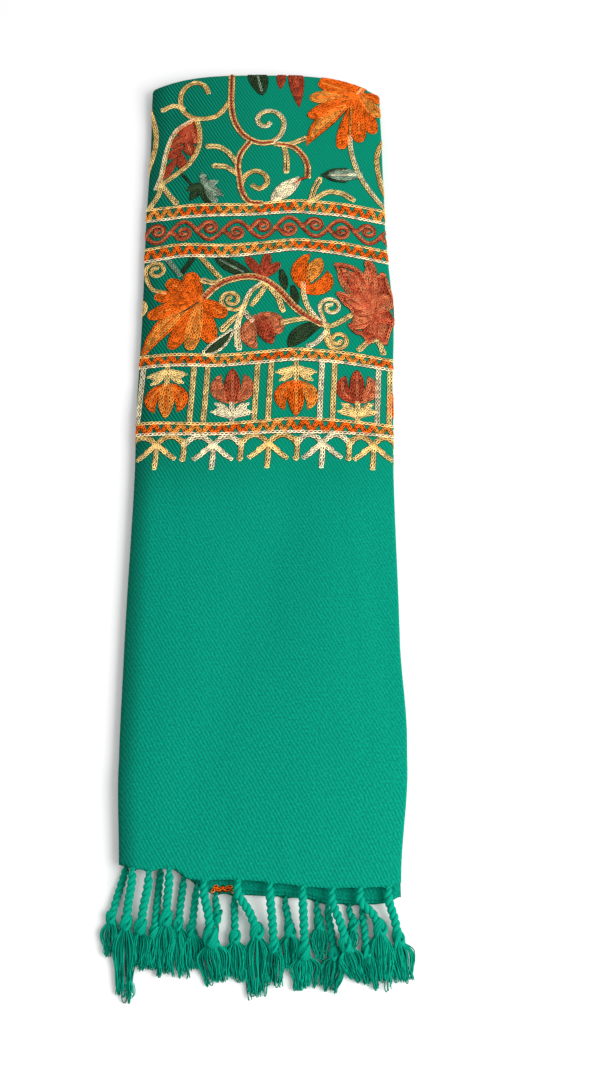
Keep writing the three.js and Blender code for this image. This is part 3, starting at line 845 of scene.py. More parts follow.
def spiral(centre, radius, start, turns, hand, inner=1.6):
    angle = np.radians(start) + hand * np.linspace(0, math.tau * turns, max(10, int(26 * turns)))
    reach = np.linspace(radius, inner, len(angle))
    return np.stack([centre[0] + reach * np.cos(angle), centre[1] + reach * np.sin(angle)], axis=1)


# A stalk that ends in a spiral
def curl(stalk, centre, radius, start, turns, *colours, hand):
    winding = spiral(centre, radius, start, turns, hand, inner=2.6)
    sideBySide(curveThrough(np.vstack([stalk, winding[::3]])), colours, **curlRows)


# Border bands: two rails with a zigzag between them
bands = {  # each rail's places, across and up
    "outerLow": [
        (-136, 450), (-120, 449), (-50, 448), (0, 450), (20, 451), (75, 450), (130, 447), (136, 446),
    ],
    "outerHigh": [
        (-136, 462), (-120, 462), (-50, 459), (0, 463), (30, 466), (80, 463), (130, 458), (136, 458),
    ],
    "tulipLow": [
        (-136, 530), (-125, 530), (-50, 528), (0, 532), (30, 535), (75, 532), (128, 524), (136, 523),
    ],
    "tulipHigh": [
        (-136, 542), (-97, 542), (-50, 540), (0, 544), (30, 547), (80, 543), (128, 535), (136, 534),
    ],
    "vineLow": [
        (-136, 659), (-124, 660), (-94, 664), (-50, 662), (0, 667),
        (30, 671), (70, 667), (128, 655), (136, 654),
    ],
    "vineHigh": [
        (-136, 674), (-124, 675), (-100, 679), (-50, 676), (0, 680),
        (30, 683), (80, 679), (124, 670), (136, 669),
    ],
    "scrollLow": [
        (-136, 711), (-124, 712), (-90, 714), (-10, 717), (30, 719), (80, 715), (120, 707), (136, 705),
    ],
    "scrollHigh": [
        (-136, 726), (-124, 727), (-80, 729), (-20, 729), (30, 734), (80, 730), (124, 722), (136, 720),
    ],
}
bandStyle = {
    "toothPitch": 13.8, "inset": 1.8, "toothGap": 2.0, "toothWide": 1.05, "railWide": 1.34,
    "orangeShare": 0.55,
}


def rail(name, x):
    across, up = zip(*bands[name])
    return tableAt({"x": across, "y": up}, "x", "y", np.asarray(x, float))


# The same rail with its corners taken off
def smoothRail(name, x):
    x = np.asarray(x, float)
    return (rail(name, x - 9) + 2 * rail(name, x) + rail(name, x + 9)) / 4


# The zigzag is two rows side by side, and changes its colour every three teeth
def band(low, high, seed):
    x = np.arange(-141.0, 141.1, 1.5)
    for name, colour in ((low, "pale"), (high, "cream")):
        stitchRow(colour, np.stack([x, smoothRail(name, x)], axis=1), 0.15, bandStyle["railWide"])
    chance = np.random.default_rng(seed)
    corners = []
    for i, end in enumerate(np.arange(-141.0 + seed, 142.0, bandStyle["toothPitch"] / 2)):
        name, sign = (low, 1) if i % 2 else (high, -1)
        corners.append((end, smoothRail(name, end) + sign * bandStyle["inset"]))
    for i in range(0, len(corners) - 1, 6):
        colour = "amber" if chance.random() > bandStyle["orangeShare"] else "orange"
        line = curveThrough(corners[i:i + 7], 0.8)
        for side in (-0.5, 0.5):
            stitchRow(colour, aside(line, side * bandStyle["toothGap"]), 0.05, bandStyle["toothWide"])


for seed, name in enumerate(("outer", "tulip", "vine", "scroll")):
    band(name + "Low", name + "High", seed + 1)


# The scalloped edge: arches that cross, with a hanging bud at each crossing and a drop between
archCrossings = [-109, -52, 3, 57, 108]
archDrops = [-138, -81, -24, 32, 84, 132]


def scallops():
    for i, x in enumerate(archCrossings):
        top = float(rail("outerLow", x)) - 2.4
        colour = "pale" if i % 2 else "cream"
        for hand in (-1, 1):
            drop = archDrops[i + (hand > 0)]
            reach = drop - x
            arch = [
                (x - hand * 9, top - 17), (x, top - 10), (x + 0.22 * reach, top - 3.6),
                (x + 0.5 * reach, top - 0.4), (x + 0.78 * reach, top - 3.2), (drop, top - 10),
            ]
            vine(arch, colour, colour if i % 2 else "gold", gap=2.7, wide=1.1)
            bud = [(x + hand * 3, top - 12), (x + hand * 10, top - 19), (x + hand * 18, top - 25)]
            sprig(colour, bud, (2.3, 3.0))
        sprig(colour, [(x, top - 11), (x, top - 24), (x - 1, top - 35)], (2.3, 3.2))
    for x in archDrops[1:]:
        top = float(rail("outerLow", x)) - 8
        sprig("cream", [(x, top), (x, top - 10), (x - 1, top - 22)], (2.5, 2.9))


scallops()


# The tulip panel: bars, and tulips that stand and hang in turn
def bars():
    for x, colour in (
        (-128, "pale"), (-75, "cream"), (-61, "cream"), (-10, "cream"), (4, "cream"),
        (56, "pale"), (69, "cream"), (114, "pale"), (126, "cream"),
    ):
        low = float(rail("outerHigh", x)) + 2.5
        high = float(rail("tulipLow", x)) - 2.5
        vine([(x - 1.5, low), (x + 1.5, high)], colour, colour)


secondTone = {"orange": "amber", "amber": "orange", "clay": "rust", "rust": "clay"}


# A tulip on its stalk; way is 1 where it stands and -1 where it hangs
def tulip(x, foot, way, size, colours, leaf):
    left, heart, right = colours

    def at(across, up):
        return (x + across * size, foot + way * up * size)

    for hand, colour in ((-1, left), (1, right)):
        petal(colour, at(hand * 3, 1), at(hand * 13, 35), 16 * size,
              bend=-hand * way * 8, peak=0.42, foot=0.5, heart=secondTone[colour])
    petal(heart, at(0, 0), at(0, 43), 17 * size, peak=0.5, foot=0.6, heart=secondTone[heart], lift=0.35)
    vine([at(0, -2), at(0, -27)], leaf, leaf)
    for hand in (-1, 1):
        for across, up in ((21, -14), (17, -4)):
            petal(leaf, at(hand, -22), at(hand * across, up), 8.2 * size,
                  bend=hand * way * 2, peak=0.72, foot=0.3, sharp=0.4)


bars()
tulip(-101, 505, -1, 0.9, ("orange", "amber", "orange"), "cream")
tulip(31, 507, -1, 0.9, ("orange", "orange", "amber"), "cream")
tulip(-34, 486, 1, 0.9, ("clay", "rust", "clay"), "pale")
tulip(93, 486, 1, 0.86, ("rust", "rust", "clay"), "cream")
petal("orange", (130, 497), (131, 466), 13, foot=0.5)


# Petals out from a centre: each tip's two coordinates, the width, and the colour and heart where they differ
def flower(centre, petals):
    centre = np.asarray(centre, float)
    for i, (tipX, tipY, width, *rest) in enumerate(petals):
        colour, heart = rest + ["orange", None][len(rest):]
        way = np.array([tipX, tipY]) - centre
        way = way / np.linalg.norm(way)
        petal(colour, centre + way, (tipX, tipY), width,
              peak=0.66, foot=0.34, sharp=0.42, heart=heart, lift=0.3 * (i % 2))


# The flowered field between the two upper bands: its flowers, leaves and the vine through it
def floweredField():
    flower((-70, 608), [
        (-83, 642, 18), (-106, 633, 17, "orange", "amber"), (-118, 615, 16),
        (-125, 590, 17, "orange", "amber"), (-99, 549, 18), (-79, 546, 17, "amber", "orange"),
        (-57, 555, 19), (-42, 588, 17, "orange", "amber"),
    ])
    petal("amber", (-78, 600), (-129, 540), 19,
          bend=-7, peak=0.4, foot=0.3, sharp=0.9, edge="orange", heart="orange", lift=0.2)
    stitchRow("dark", curveThrough([(-72, 604), (-86, 594)]), 0.7, 0.5)
    vine([
        (-66, 610), (-54, 624), (-40, 633), (-20, 637), (-4, 633), (12, 620), (26, 602), (40, 588), (56, 578),
    ], "cream", "clay", "rust", "cream", gap=1.9)
    vine([(56, 577), (66, 575), (76, 580), (90, 590)], "cream", "cream")
    curl([(61, 578)], (67, 598), 12, 205, 1.4, "pale", "cream", hand=-1)
    vine([(62, 577), (64, 562), (68, 550)], "cream", "cream")
    sprig("pale", [(61, 567), (53, 556), (43, 550)])
    curl([(61, 566)], (74, 558), 12, 180, 1.5, "cream", "gold", hand=1)
    sprig("cream", [(114, 560), (105, 556), (96, 547)], (2.4, 4.4))
    sprig("cream", [(114, 560), (118, 552), (121, 543)], (2.4, 4.0))
    lobedLeaf(("clay", "rust"), (110, 594), [
        (76, 648, 21), (92, 643, 20), (108, 652, 15), (123, 639, 19), (131, 612, 21), (130, 582, 19),
        (123, 558, 18), (107, 559, 17), (90, 573, 17), (88, 600, 19), (78, 613, 14), (112, 622, 20),
    ], [
        (72, 652), (81, 653), (92, 649), (101, 641), (107, 628), (107, 639), (103, 654), (109, 657),
        (115, 648), (117, 638), (122, 643), (126, 638), (130, 622), (136, 606), (138, 588), (131, 575),
        (127, 562), (124, 553), (119, 556), (114, 560), (109, 556), (104, 554), (102, 559), (98, 564),
        (91, 567), (85, 577), (94, 579), (104, 583), (95, 584), (90, 588), (87, 596), (80, 602),
        (73, 616), (80, 616), (88, 613), (85, 621), (79, 631), (75, 642),
    ])
    petal("orange", (44, 620), (46, 665), 17, bend=11, peak=0.42, foot=0.55)
    petal("orange", (42, 619), (64, 644), 17, bend=-9, peak=0.45, foot=0.55)
    petal("amber", (45, 632), (57, 660), 16, peak=0.5, foot=0.5, lift=0.35)
    vine([(38, 627), (39, 612), (44, 596), (53, 583)], "pale", "cream")
    petal("dark", (15, 645), (20, 619), 8)
    petal("dark", (27, 625), (32, 600), 8)
    petal("dark", (-18, 639), (-56, 661), 15, heart="grey")
    sprig("dark", [(-92, 640), (-84, 652), (-78, 662)])
    sprig("grey", [(-92, 640), (-101, 653), (-108, 663)])
    petal("dark", (55, 577), (23, 549), 17, bend=-4)
    petal("dark", (-36, 570), (-67, 541), 14, edge="pale", bend=3)
    for tip in ((-23, 663), (1, 668), (14, 654)):
        petal("rust", (-4, 636), tip, 10, foot=0.5, sharp=0.6)
    petal("clay", (-10, 585), (-9, 548), 17, bend=-9, peak=0.5, foot=0.55)
    petal("clay", (-7, 586), (11, 564), 17, bend=9, peak=0.5, foot=0.6, sharp=0.6, heart="rust")
    petal("rust", (-7, 586), (6, 553), 17, peak=0.5, foot=0.6, lift=0.35)
    vine([(-3, 630), (-16, 619), (-22, 606), (-26, 592), (-31, 574), (-30, 553)], "cream", "pale")
    sprig("pale", [(-29, 580), (-30, 566), (-28, 549)], (2.6, 5.0))
    sprig("cream", [(-26, 592), (-36, 583), (-46, 571)], (2.6, 5.0))
    vine([(-22, 592), (-19, 587), (-15, 583)], "pale", "pale")
    curl([(-23, 603), (-28, 597)], (-37, 608), 12, 275, 1.45, "cream", "gold", hand=-1)
    sprig("cream", [(0, 627), (-7, 614), (-15, 602)])
    sprig("cream", [(0, 627), (11, 611), (17, 594)], (2.5, 4.0))
    sprig("cream", [(42, 584), (29, 582), (17, 579)], (2.5, 4.6))
    vine([(-50, 636), (-60, 648), (-71, 662)], "gold", "cream")
    sprig("cream", [(-46, 632), (-57, 629), (-68, 632)], (2.5, 5.0))
    curl([(-108, 619), (-122, 625)], (-118, 647), 11.5, 195, 1.4, "cream", "gold", hand=-1)
    vine([(-137, 612), (-129, 606), (-129, 597), (-137, 590)], "cream", "gold")


floweredField()


# The running scroll between the upper two bands
scroll = {
    "first": -174.4, "cell": 28.2, "rise": 11.6, "curl": 9.2, "turns": 1.3, "high": 2.8,
    "gap": 2.15, "wide": 0.84,
}


def runningScroll():
    def midway(x):
        return (smoothRail("vineHigh", x) + smoothRail("scrollLow", x)) / 2

    x = np.arange(-150.0, 150.1, 1.2)
    wave = -np.cos(math.pi * (x - scroll["first"]) / scroll["cell"])
    line = np.stack([x, midway(x) + scroll["rise"] * wave], axis=1)
    sideBySide(line, ("clay", "rust"), scroll["gap"], scroll["wide"])
    for i in range(12):
        hand = 1 if i % 2 else -1  # every other one curls beneath a crest
        x = scroll["first"] + i * scroll["cell"]
        centre = (x, midway(x) - hand * scroll["high"])
        winding = spiral(centre, scroll["curl"], 180 + hand * 15, scroll["turns"], hand)
        lead = x - 0.5 * scroll["cell"]
        winding = curveThrough(np.vstack([(lead, midway(lead)), winding[::2]]))
        sideBySide(winding, ("rust", "clay"), scroll["gap"], scroll["wide"], 0.05)


runningScroll()


# The upper field: the long vine, its leaves and the big flower, on over the crosswise fold
def upperField():
    vine([
        (-42, 932), (-42, 900), (-42, 870), (-39, 846), (-31, 828), (-20, 817), (-8, 812), (4, 813),
    ], "cream", "rust", "cream", gap=2.4)
    vine([
        (4, 813), (14, 824), (17, 842), (8, 855), (-4, 856), (-12, 848), (-10, 838), (-3, 835), (1, 839),
    ], "cream", "pale")
    vine([
        (-43, 872), (-52, 856), (-62, 848), (-78, 846), (-89, 851), (-97, 861), (-99, 876), (-94, 890),
        (-82, 897), (-72, 892), (-68, 883),
    ], "cream", "gold")
    sprig("cream", [(-96, 862), (-107, 866), (-119, 861)])
    vine([(-84, 845), (-102, 832), (-110, 814), (-114, 794), (-117, 772), (-122, 755)], "cream", "pale")
    vine([(-80, 845), (-76, 826), (-77, 806), (-86, 786), (-100, 772), (-116, 760)], "cream", "gold")
    for base, tip, width in (
        ((-86, 838), (-104, 828), 11), ((-90, 826), (-109, 809), 12), ((-96, 808), (-111, 794), 11),
        ((-86, 836), (-80, 812), 13), ((-91, 818), (-84, 796), 12), ((-98, 800), (-93, 778), 11),
        ((-102, 792), (-115, 767), 9), ((-85, 846), (-93, 812), 12),
    ):
        petal("rust", base, tip, width, heart="clay" if width > 11 else None, sharp=0.6)
    vine([(-115, 762), (-120, 744), (-129, 728)], "cream", "cream")
    sprig("cream", [(-115, 757), (-108, 745), (-99, 733)], (2.6, 4.2))
    vine([(-134, 862), (-126, 834), (-126, 806), (-134, 774)], "cream", "gold")
    vine([
        (-21, 813), (-30, 798), (-33, 782), (-31, 764), (-28, 746), (-20, 733), (-8, 731),
    ], "cream", "rust", "cream", gap=2.3)
    sprig("cream", [(-33, 780), (-42, 797), (-54, 807), (-67, 808)], (2.6, 4.6))
    sprig("cream", [(-34, 770), (-46, 780), (-59, 781)], (2.6, 5.0))
    vine([(-30, 752), (-25, 767), (-14, 774), (-3, 768), (-1, 757), (-9, 750), (-16, 754)], "cream", "gold")
    sprig("cream", [(8, 810), (24, 810), (41, 818)], (3.0, 4.4))
    sprig("cream", [(17, 808), (20, 792), (20, 773)], (2.8, 5.0))
    vine([(12, 810), (27, 806), (38, 794), (43, 780), (43, 766)], "cream", "rust", "cream", gap=2.3)
    stitchRow("rust", curveThrough([(42, 765), (36, 762), (31, 758)]), 0.3)
    petal("pale", (33, 762), (3, 733), 18, peak=0.5)
    sprig("cream", [(46, 731), (50, 748), (56, 762)], (2.8, 5.4))
    sprig("cream", [(48, 733), (64, 745), (80, 744), (92, 736)], (2.8, 4.6))
    petal("grey", (101, 770), (64, 768), 15, peak=0.5, heart="pale")
    stitchRow("dark", curveThrough([(60, 768), (70, 762), (84, 760)]), 0.2)
    stitchRow("dark", curveThrough([(60, 768), (70, 775), (84, 777)]), 0.2)
    stitchRow("dark", curveThrough([(-94, 771), (-84, 758), (-74, 752)]))
    for tip, width in (((-88, 749), 9), ((-84, 736), 10), ((-60, 727), 13)):
        petal("dark", (-72, 757), tip, width)
    for tip, width in (((-72, 771), 8), ((-56, 760), 9), ((-50, 742), 10), ((-55, 730), 9)):
        petal("grey", (-68, 754), tip, width, sharp=0.6, lift=0.2)
    petal("dark", (-17, 926), (-7, 879), 22, peak=0.4, sharp=0.7, heart="grey")
    petal("rust", (15, 928), (13, 888), 10)
    petal("rust", (28, 930), (34, 862), 17, peak=0.4, sharp=1.0, heart="clay")
    flower((101, 880), [
        (82, 932, 24), (108, 926, 20), (62, 914, 24), (56, 898, 19, "orange", "amber"),
        (46, 875, 18, "amber", "orange"), (44, 848, 18), (79, 804, 18), (100, 813, 17, "orange", "amber"),
        (117, 826, 16), (125, 850, 15, "amber"), (134, 874, 14),
    ])
    petal("amber", (90, 868), (42, 808), 19,
          bend=-6, peak=0.42, foot=0.3, sharp=0.9, edge="orange", lift=0.2)
    stitchRow("amber", curveThrough([(92, 862), (90, 824)]), 0.7)
    vine([(90, 822), (91, 802), (96, 780), (104, 760), (116, 740), (126, 727)], "pale", "cream")
    vine([(101, 882), (106, 890), (112, 904)], "cream", "clay", lift=0.4)
    vine([(134, 828), (121, 802), (120, 778), (125, 750), (134, 735)], "cream", "gold")


upperField()


# A little of the far border, seen under the upper hem on the layers below it
def farBorder():
    teeth = [(-42 + 2.8 * i, 2.5 if i % 2 else -1.5) for i in range(7)]
    stitchRow("orange", curveThrough(teeth, 0.8), -skin - 0.35, 1.1)


farBorder()


# Chain stitch: open loops of yarn head to tail along each row
def makeStitchTree():
    tree, given, put = newTree("chainStitch", "GeometryNodeTree", [
        ("Rows", "NodeSocketGeometry", None),
        ("Length", "NodeSocketFloat", 0.0033),
        ("Width", "NodeSocketFloat", 0.0024),
        ("Yarn", "NodeSocketFloat", 0.0004),
        ("Uneven", "NodeSocketFloat", 0.1),
        ("Seed", "NodeSocketInt", 1),
        ("Material", "NodeSocketMaterial", None),
    ], [("Stitches", "NodeSocketGeometry")])
    curve = node(tree, "GeometryNodeMeshToCurve", {"Mesh": given["Rows"]})
    spacing = {"Curve": result(curve), "Length": given["Length"]}
    spaced = node(tree, "GeometryNodeResampleCurve", spacing, mode="LENGTH")
    marks = node(tree, "GeometryNodeCurveToPoints", {"Curve": result(spaced)}, mode="EVALUATED")
    heading = {"Vector": result(marks, "Tangent")}
    turned = node(tree, "FunctionNodeAlignRotationToVector", heading, axis="X", pivot_axis="Z")
    ring = node(tree, "GeometryNodeCurvePrimitiveCircle", {"Resolution": 8, "Radius": 1.0})
    place = result(node(tree, "GeometryNodeInputPosition"))
    place = node(tree, "ShaderNodeSeparateXYZ", {0: place}).outputs
    longWay = maths(tree, "MULTIPLY", place[0], maths(tree, "MULTIPLY", given["Length"], 0.56))
    narrow = maths(tree, "MULTIPLY_ADD", place[0], 0.3, 0.8)
    half = maths(tree, "SUBTRACT", maths(tree, "MULTIPLY", given["Width"], 0.5), given["Yarn"])
    bow = maths(tree, "MULTIPLY", place[1], maths(tree, "MULTIPLY", narrow, half))
    loop = node(tree, "ShaderNodeCombineXYZ", {0: longWay, 1: bow})
    loop = node(tree, "GeometryNodeSetPosition", {
        "Geometry": result(ring, "Curve"), "Position": result(loop),
    })
    strand = node(tree, "GeometryNodeCurvePrimitiveCircle", {"Resolution": 3, "Radius": given["Yarn"]})
    link = node(tree, "GeometryNodeCurveToMesh", {
        "Curve": result(loop), "Profile Curve": result(strand, "Curve"),
    })
    ends = []
    for operation in ("SUBTRACT", "ADD"):
        size = maths(tree, operation, 1.0, given["Uneven"])
        ends.append(result(node(tree, "ShaderNodeCombineXYZ", {0: size, 1: size, 2: size})))
    size = node(tree, "FunctionNodeRandomValue", {
        "Min": ends[0], "Max": ends[1], "Seed": given["Seed"],
    }, data_type="FLOAT_VECTOR")
    shape = node(tree, "ShaderNodeCombineXYZ", {0: 1.0, 1: namedValue(tree, "wide"), 2: 1.0})
    size = node(tree, "ShaderNodeVectorMath", {0: result(size), 1: result(shape)}, operation="MULTIPLY")
    chain = node(tree, "GeometryNodeInstanceOnPoints", {
        "Points": result(marks, "Points"), "Instance": result(link), "Rotation": result(turned),
        "Scale": result(size),
    })
    tone = node(tree, "FunctionNodeRandomValue", {
        "Min": 0.4, "Max": 1.0, "Seed": given["Seed"],
    }, data_type="FLOAT")
    toned = node(tree, "GeometryNodeStoreNamedAttribute", {
        "Geometry": result(chain), "Name": "tone", "Value": result(tone),
    }, data_type="FLOAT", domain="INSTANCE")
    return finishTree(tree, toned, given, put)


# A bed is a low ridge under a row, painted near black as the shadow that shows through and beside the row
def shadowBedMesh(lines, start):
    points, faces = [], []
    for line in lines:
        picked = np.unique(np.linspace(0, len(line) - 1, max(2, len(line) // 2)).astype(int))
        half = stitch["width"] / 2 * stitch["bedWidth"] * np.sqrt(line[picked, 3])
        core, low = line[picked, :2], line[picked, 2] - stitch["lift"]
        out = (aside(line[:, :2], 1.0)[picked] - core) * half[:, None]
        section = [
            np.column_stack([core + out, low + 0.03]),
            np.column_stack([core, low + stitch["bedHeight"]]),
            np.column_stack([core - out, low + 0.03]),
        ]
        points.append(np.stack(section, axis=1).reshape(-1, 3))
        base = start + 3 * np.arange(len(picked) - 1)
        for a, b in ((0, 1), (1, 2), (2, 0)):
            faces += np.stack([base + a, base + b, base + 3 + b, base + 3 + a], axis=1).tolist()
        end = start + 3 * len(picked)
        faces += [[start, start + 1, start + 2], [end - 3, end - 1, end - 2]]
        start = end
    return points, faces


# A pad is a low lens: a domed top over a flat back, both on the same rim. Its dark tone is painted shade
# between the stitches, and its rim is painted near black as a shadow round the petal
padShares = np.array([-1, -0.84, 0, 0.84, 1])


def padMesh(entries):
    points, faces, start = [], [], 0
    for spine, normal, half, lift in entries:
        seen = onFace(spine)
        spine, normal, half = spine[seen], normal[seen], half[seen] + stitch["padSpread"]
        count = len(spine)
        if count < 2:
            continue
        flat = spine[:, None, :] + normal[:, None, :] * (half[:, None] * padShares)[:, :, None]
        dome = (1 - padShares**2) * np.clip(half / 3, 0.3, 1)[:, None]
        height = 0.05 + lift * 0.7 + stitch["padHeight"] * dome
        points.append(np.concatenate([flat, height[:, :, None]], axis=2).reshape(-1, 3))
        faces += gridFaces(count, 5, start).tolist()
        faces += [[start + 5 * i + k for k in (0, 4, 9, 5)] for i in range(count - 1)]
        faces += [[start + k for k in range(5)], [start + 5 * (count - 1) + k for k in range(5)]]
        start += count * 5
    return points, faces, start


def meshArrays(mesh):
    points = np.zeros(len(mesh.vertices) * 3, np.float32)
    mesh.vertices.foreach_get("co", points)
    corners = np.zeros(len(mesh.loops), np.int32)
    mesh.loops.foreach_get("vertex_index", corners)
    tone = np.zeros(len(mesh.vertices), np.float32)
    mesh.attributes["tone"].data.foreach_get("value", tone)
    return points.reshape(-1, 3), corners.reshape(-1, 4), tone


# Each colour is stitched flat, set on its pads and beds, which carry painted shade, and then laid on the
# outer face
def embroider(tree):
    pieces = []
    for seed, (name, material) in enumerate(threadMaterials.items()):
        wide = np.concatenate([line[:, 3] for line in rows[name]])
        work = linesObject(name + "Rows", [line[:, :3] for line in rows[name]], {"wide": wide})
        growPiece(work, tree, {
            "Length": stitch["length"] * mm, "Width": stitch["width"] * mm, "Yarn": stitch["yarn"] * mm,
            "Uneven": stitch["uneven"], "Seed": seed + 1, "Material": material,
        })
        flat, corners, tone = meshArrays(work.data)
        bpy.data.objects.remove(work)
        padPoints, padFaces, padCount = padMesh(pads[name])
        bedPoints, bedFaces = shadowBedMesh(rows[name], padCount)
        faces = corners.tolist() + [[k + len(flat) for k in face] for face in padFaces + bedFaces]
        under = np.vstack(padPoints + bedPoints)
        flat = np.vstack([flat, under * mm]) / mm
        # Painted shade: the pads are dark and their rims near black
        padShadeTones = np.where(np.abs(padShares) < 1, stitch["padShadeTone"], stitch["shadowBedTone"])
        # Painted shadow: the beds are near black
        shadowBedTones = np.full(len(under) - padCount, stitch["shadowBedTone"])
        tone = np.concatenate([tone, np.tile(padShadeTones, padCount // 5), shadowBedTones])
        points = skinPoint(*flat.T)
        points[:, 2] = np.maximum(points[:, 2], 0.05 * mm)
        piece = meshObject("embroidery_" + name, points, faces, material, tone=tone)
        pieces.append(facedOut(piece))
        print("embroidery in", name, "with", sum(len(f) - 2 for f in faces), "triangles")
    return pieces


embroidery = embroider(makeStitchTree())


# The fringe: two-ply cords, wound knots and skirts of yarn
fringe = {
    "ply": 2.4,  # radius of one of a cord's two plies
    "plyGap": 1.85,
    "turn": 12.0,  # length in which the plies go once round
    "lowerSize": 0.88,  # a lower cord's thickness, as a share of an upper one's
    "upperRoot": 3.6,  # height in the stack that a cord leaves from, in layers
    "lowerRoot": 2.3,
    "upperClear": 10.0,  # how far it runs straight out from the hem
    "lowerClear": 5.0,
    "strand": 0.7,
    "more": 1.25,  # strands for each one in the table
    "lockFans": (3.4, 5.4),  # a skirt wider than each of these has one more lock
    "strandSpread": 0.45,  # how far a strand ends out by its own place and by its lock's
    "lockSpread": 0.45,
    "belly": 0.8,
    "loops": 0.08,  # share of strands that turn back
    "seed": 11,
}


def makeYarnTree():
    tree, given, put = newTree("fringeYarns", "GeometryNodeTree", [
        ("Lines", "NodeSocketGeometry", None),
        ("Cord Sides", "NodeSocketInt", 8),
        ("Strand Sides", "NodeSocketInt", 3),
        ("Material", "NodeSocketMaterial", None),
    ], [("Yarns", "NodeSocketGeometry")])
    stout = maths(tree, "GREATER_THAN", namedValue(tree, "stout"), 0.5)
    parts = node(tree, "GeometryNodeSeparateGeometry", {"Geometry": given["Lines"], "Selection": stout})
    thick = namedValue(tree, "thick")
    both = tree.nodes.new("GeometryNodeJoinGeometry")
    for label, sides in (("Selection", "Cord Sides"), ("Inverted", "Strand Sides")):
        curve = node(tree, "GeometryNodeMeshToCurve", {"Mesh": result(parts, label)})
        circle = node(tree, "GeometryNodeCurvePrimitiveCircle", {"Resolution": given[sides], "Radius": 1.0})
        tube = node(tree, "GeometryNodeCurveToMesh", {
            "Curve": result(curve), "Profile Curve": result(circle, "Curve"),
            "Scale": thick, "Fill Caps": True,
        })
        tree.links.new(result(tube), both.inputs[0])
    return finishTree(tree, both, given, put)


# A yarn is a line with a radius, whether it is stout and how light it is
def yarnObject(name, yarns):
    columns = [[], [], []]
    for line, *settings in yarns:
        for column, value in zip(columns, settings):
            column.append(np.broadcast_to(value, len(line)))
    thick, stout, tone = (np.concatenate(column) for column in columns)
    lines = [line + [shiftX, shiftY, 0] for line, *settings in yarns]
    return linesObject(name, lines, {"thick": thick * mm, "stout": stout, "tone": tone})


def rootPoint(row):
    u = np.array([float(row["root"])])
    hem = hemAt(row["hem"], u)
    point = foldPoint(u, fringe[row["hem"] + "Root"] * pitch, pathAt(row["hem"], u, hem))[0] / mm
    return np.array([point[0] - shiftX, hem[0], point[2]])


def cordYarns(row, root, knot):
    clear = fringe[row["hem"] + "Clear"]
    halfway = root + (knot - root) * [0.62, 0.62, 0.6]
    line = curveThrough([root + [0, 2.0, 0], root + [0, -clear, 0], halfway, knot], 1.3)
    reach = np.concatenate([[0], np.cumsum(np.linalg.norm(np.diff(line, axis=0), axis=1))])
    along = tangents(line)
    sideways = np.cross([0.0, 0.0, 1.0], along)
    sideways /= np.maximum(np.linalg.norm(sideways, axis=1, keepdims=True), 1e-9)
    up = np.cross(along, sideways)
    size = 1.0 if row["hem"] == "upper" else fringe["lowerSize"]
    grow = 0.55 + 0.45 * smooth(reach / 10)
    yarns = []
    for ply in (0, math.pi):
        angle = reach * math.tau / fringe["turn"] + ply + row["root"]
        out = (fringe["plyGap"] * size * grow)[:, None]
        path = line + out * (sideways * np.cos(angle)[:, None] + up * 0.85 * np.sin(angle)[:, None])
        radius = fringe["ply"] * size * grow
        path[:, 2] = np.maximum(path[:, 2], radius + 0.1)
        yarns.append((path, radius, 1.0, 0.72))
    return yarns


# A wound knot: yarns side by side, three times along and twice round, tight about the cord's end
def knotYarns(row, knot, hang, chance):
    size = row["knot"] * 1.2
    sideways = np.array([-hang[1], hang[0], 0.0])
    t = np.linspace(0, math.tau, 42)
    start = chance.random() * math.tau
    yarns = []
    for k in (-1, 0, 1):
        ring = size * (0.5 + 0.2 * np.cos(3 * t) + 0.05 * k)
        path = knot + hang * (size * (0.82 * np.sin(3 * t) + 0.24 * k * np.cos(2 * t + 1)))[:, None]
        path = path + sideways * (ring * np.cos(2 * t + start + 0.24 * k))[:, None]
        path = path + [0, 0, 0.8] * (ring * np.sin(2 * t + start + 0.24 * k))[:, None]
        radius = size * (0.27 - 0.03 * abs(k))
        path[:, 2] = np.maximum(path[:, 2], radius + 0.15)
        yarns.append((path, radius, 1.0, 0.62 + 0.12 * k))
    return yarns


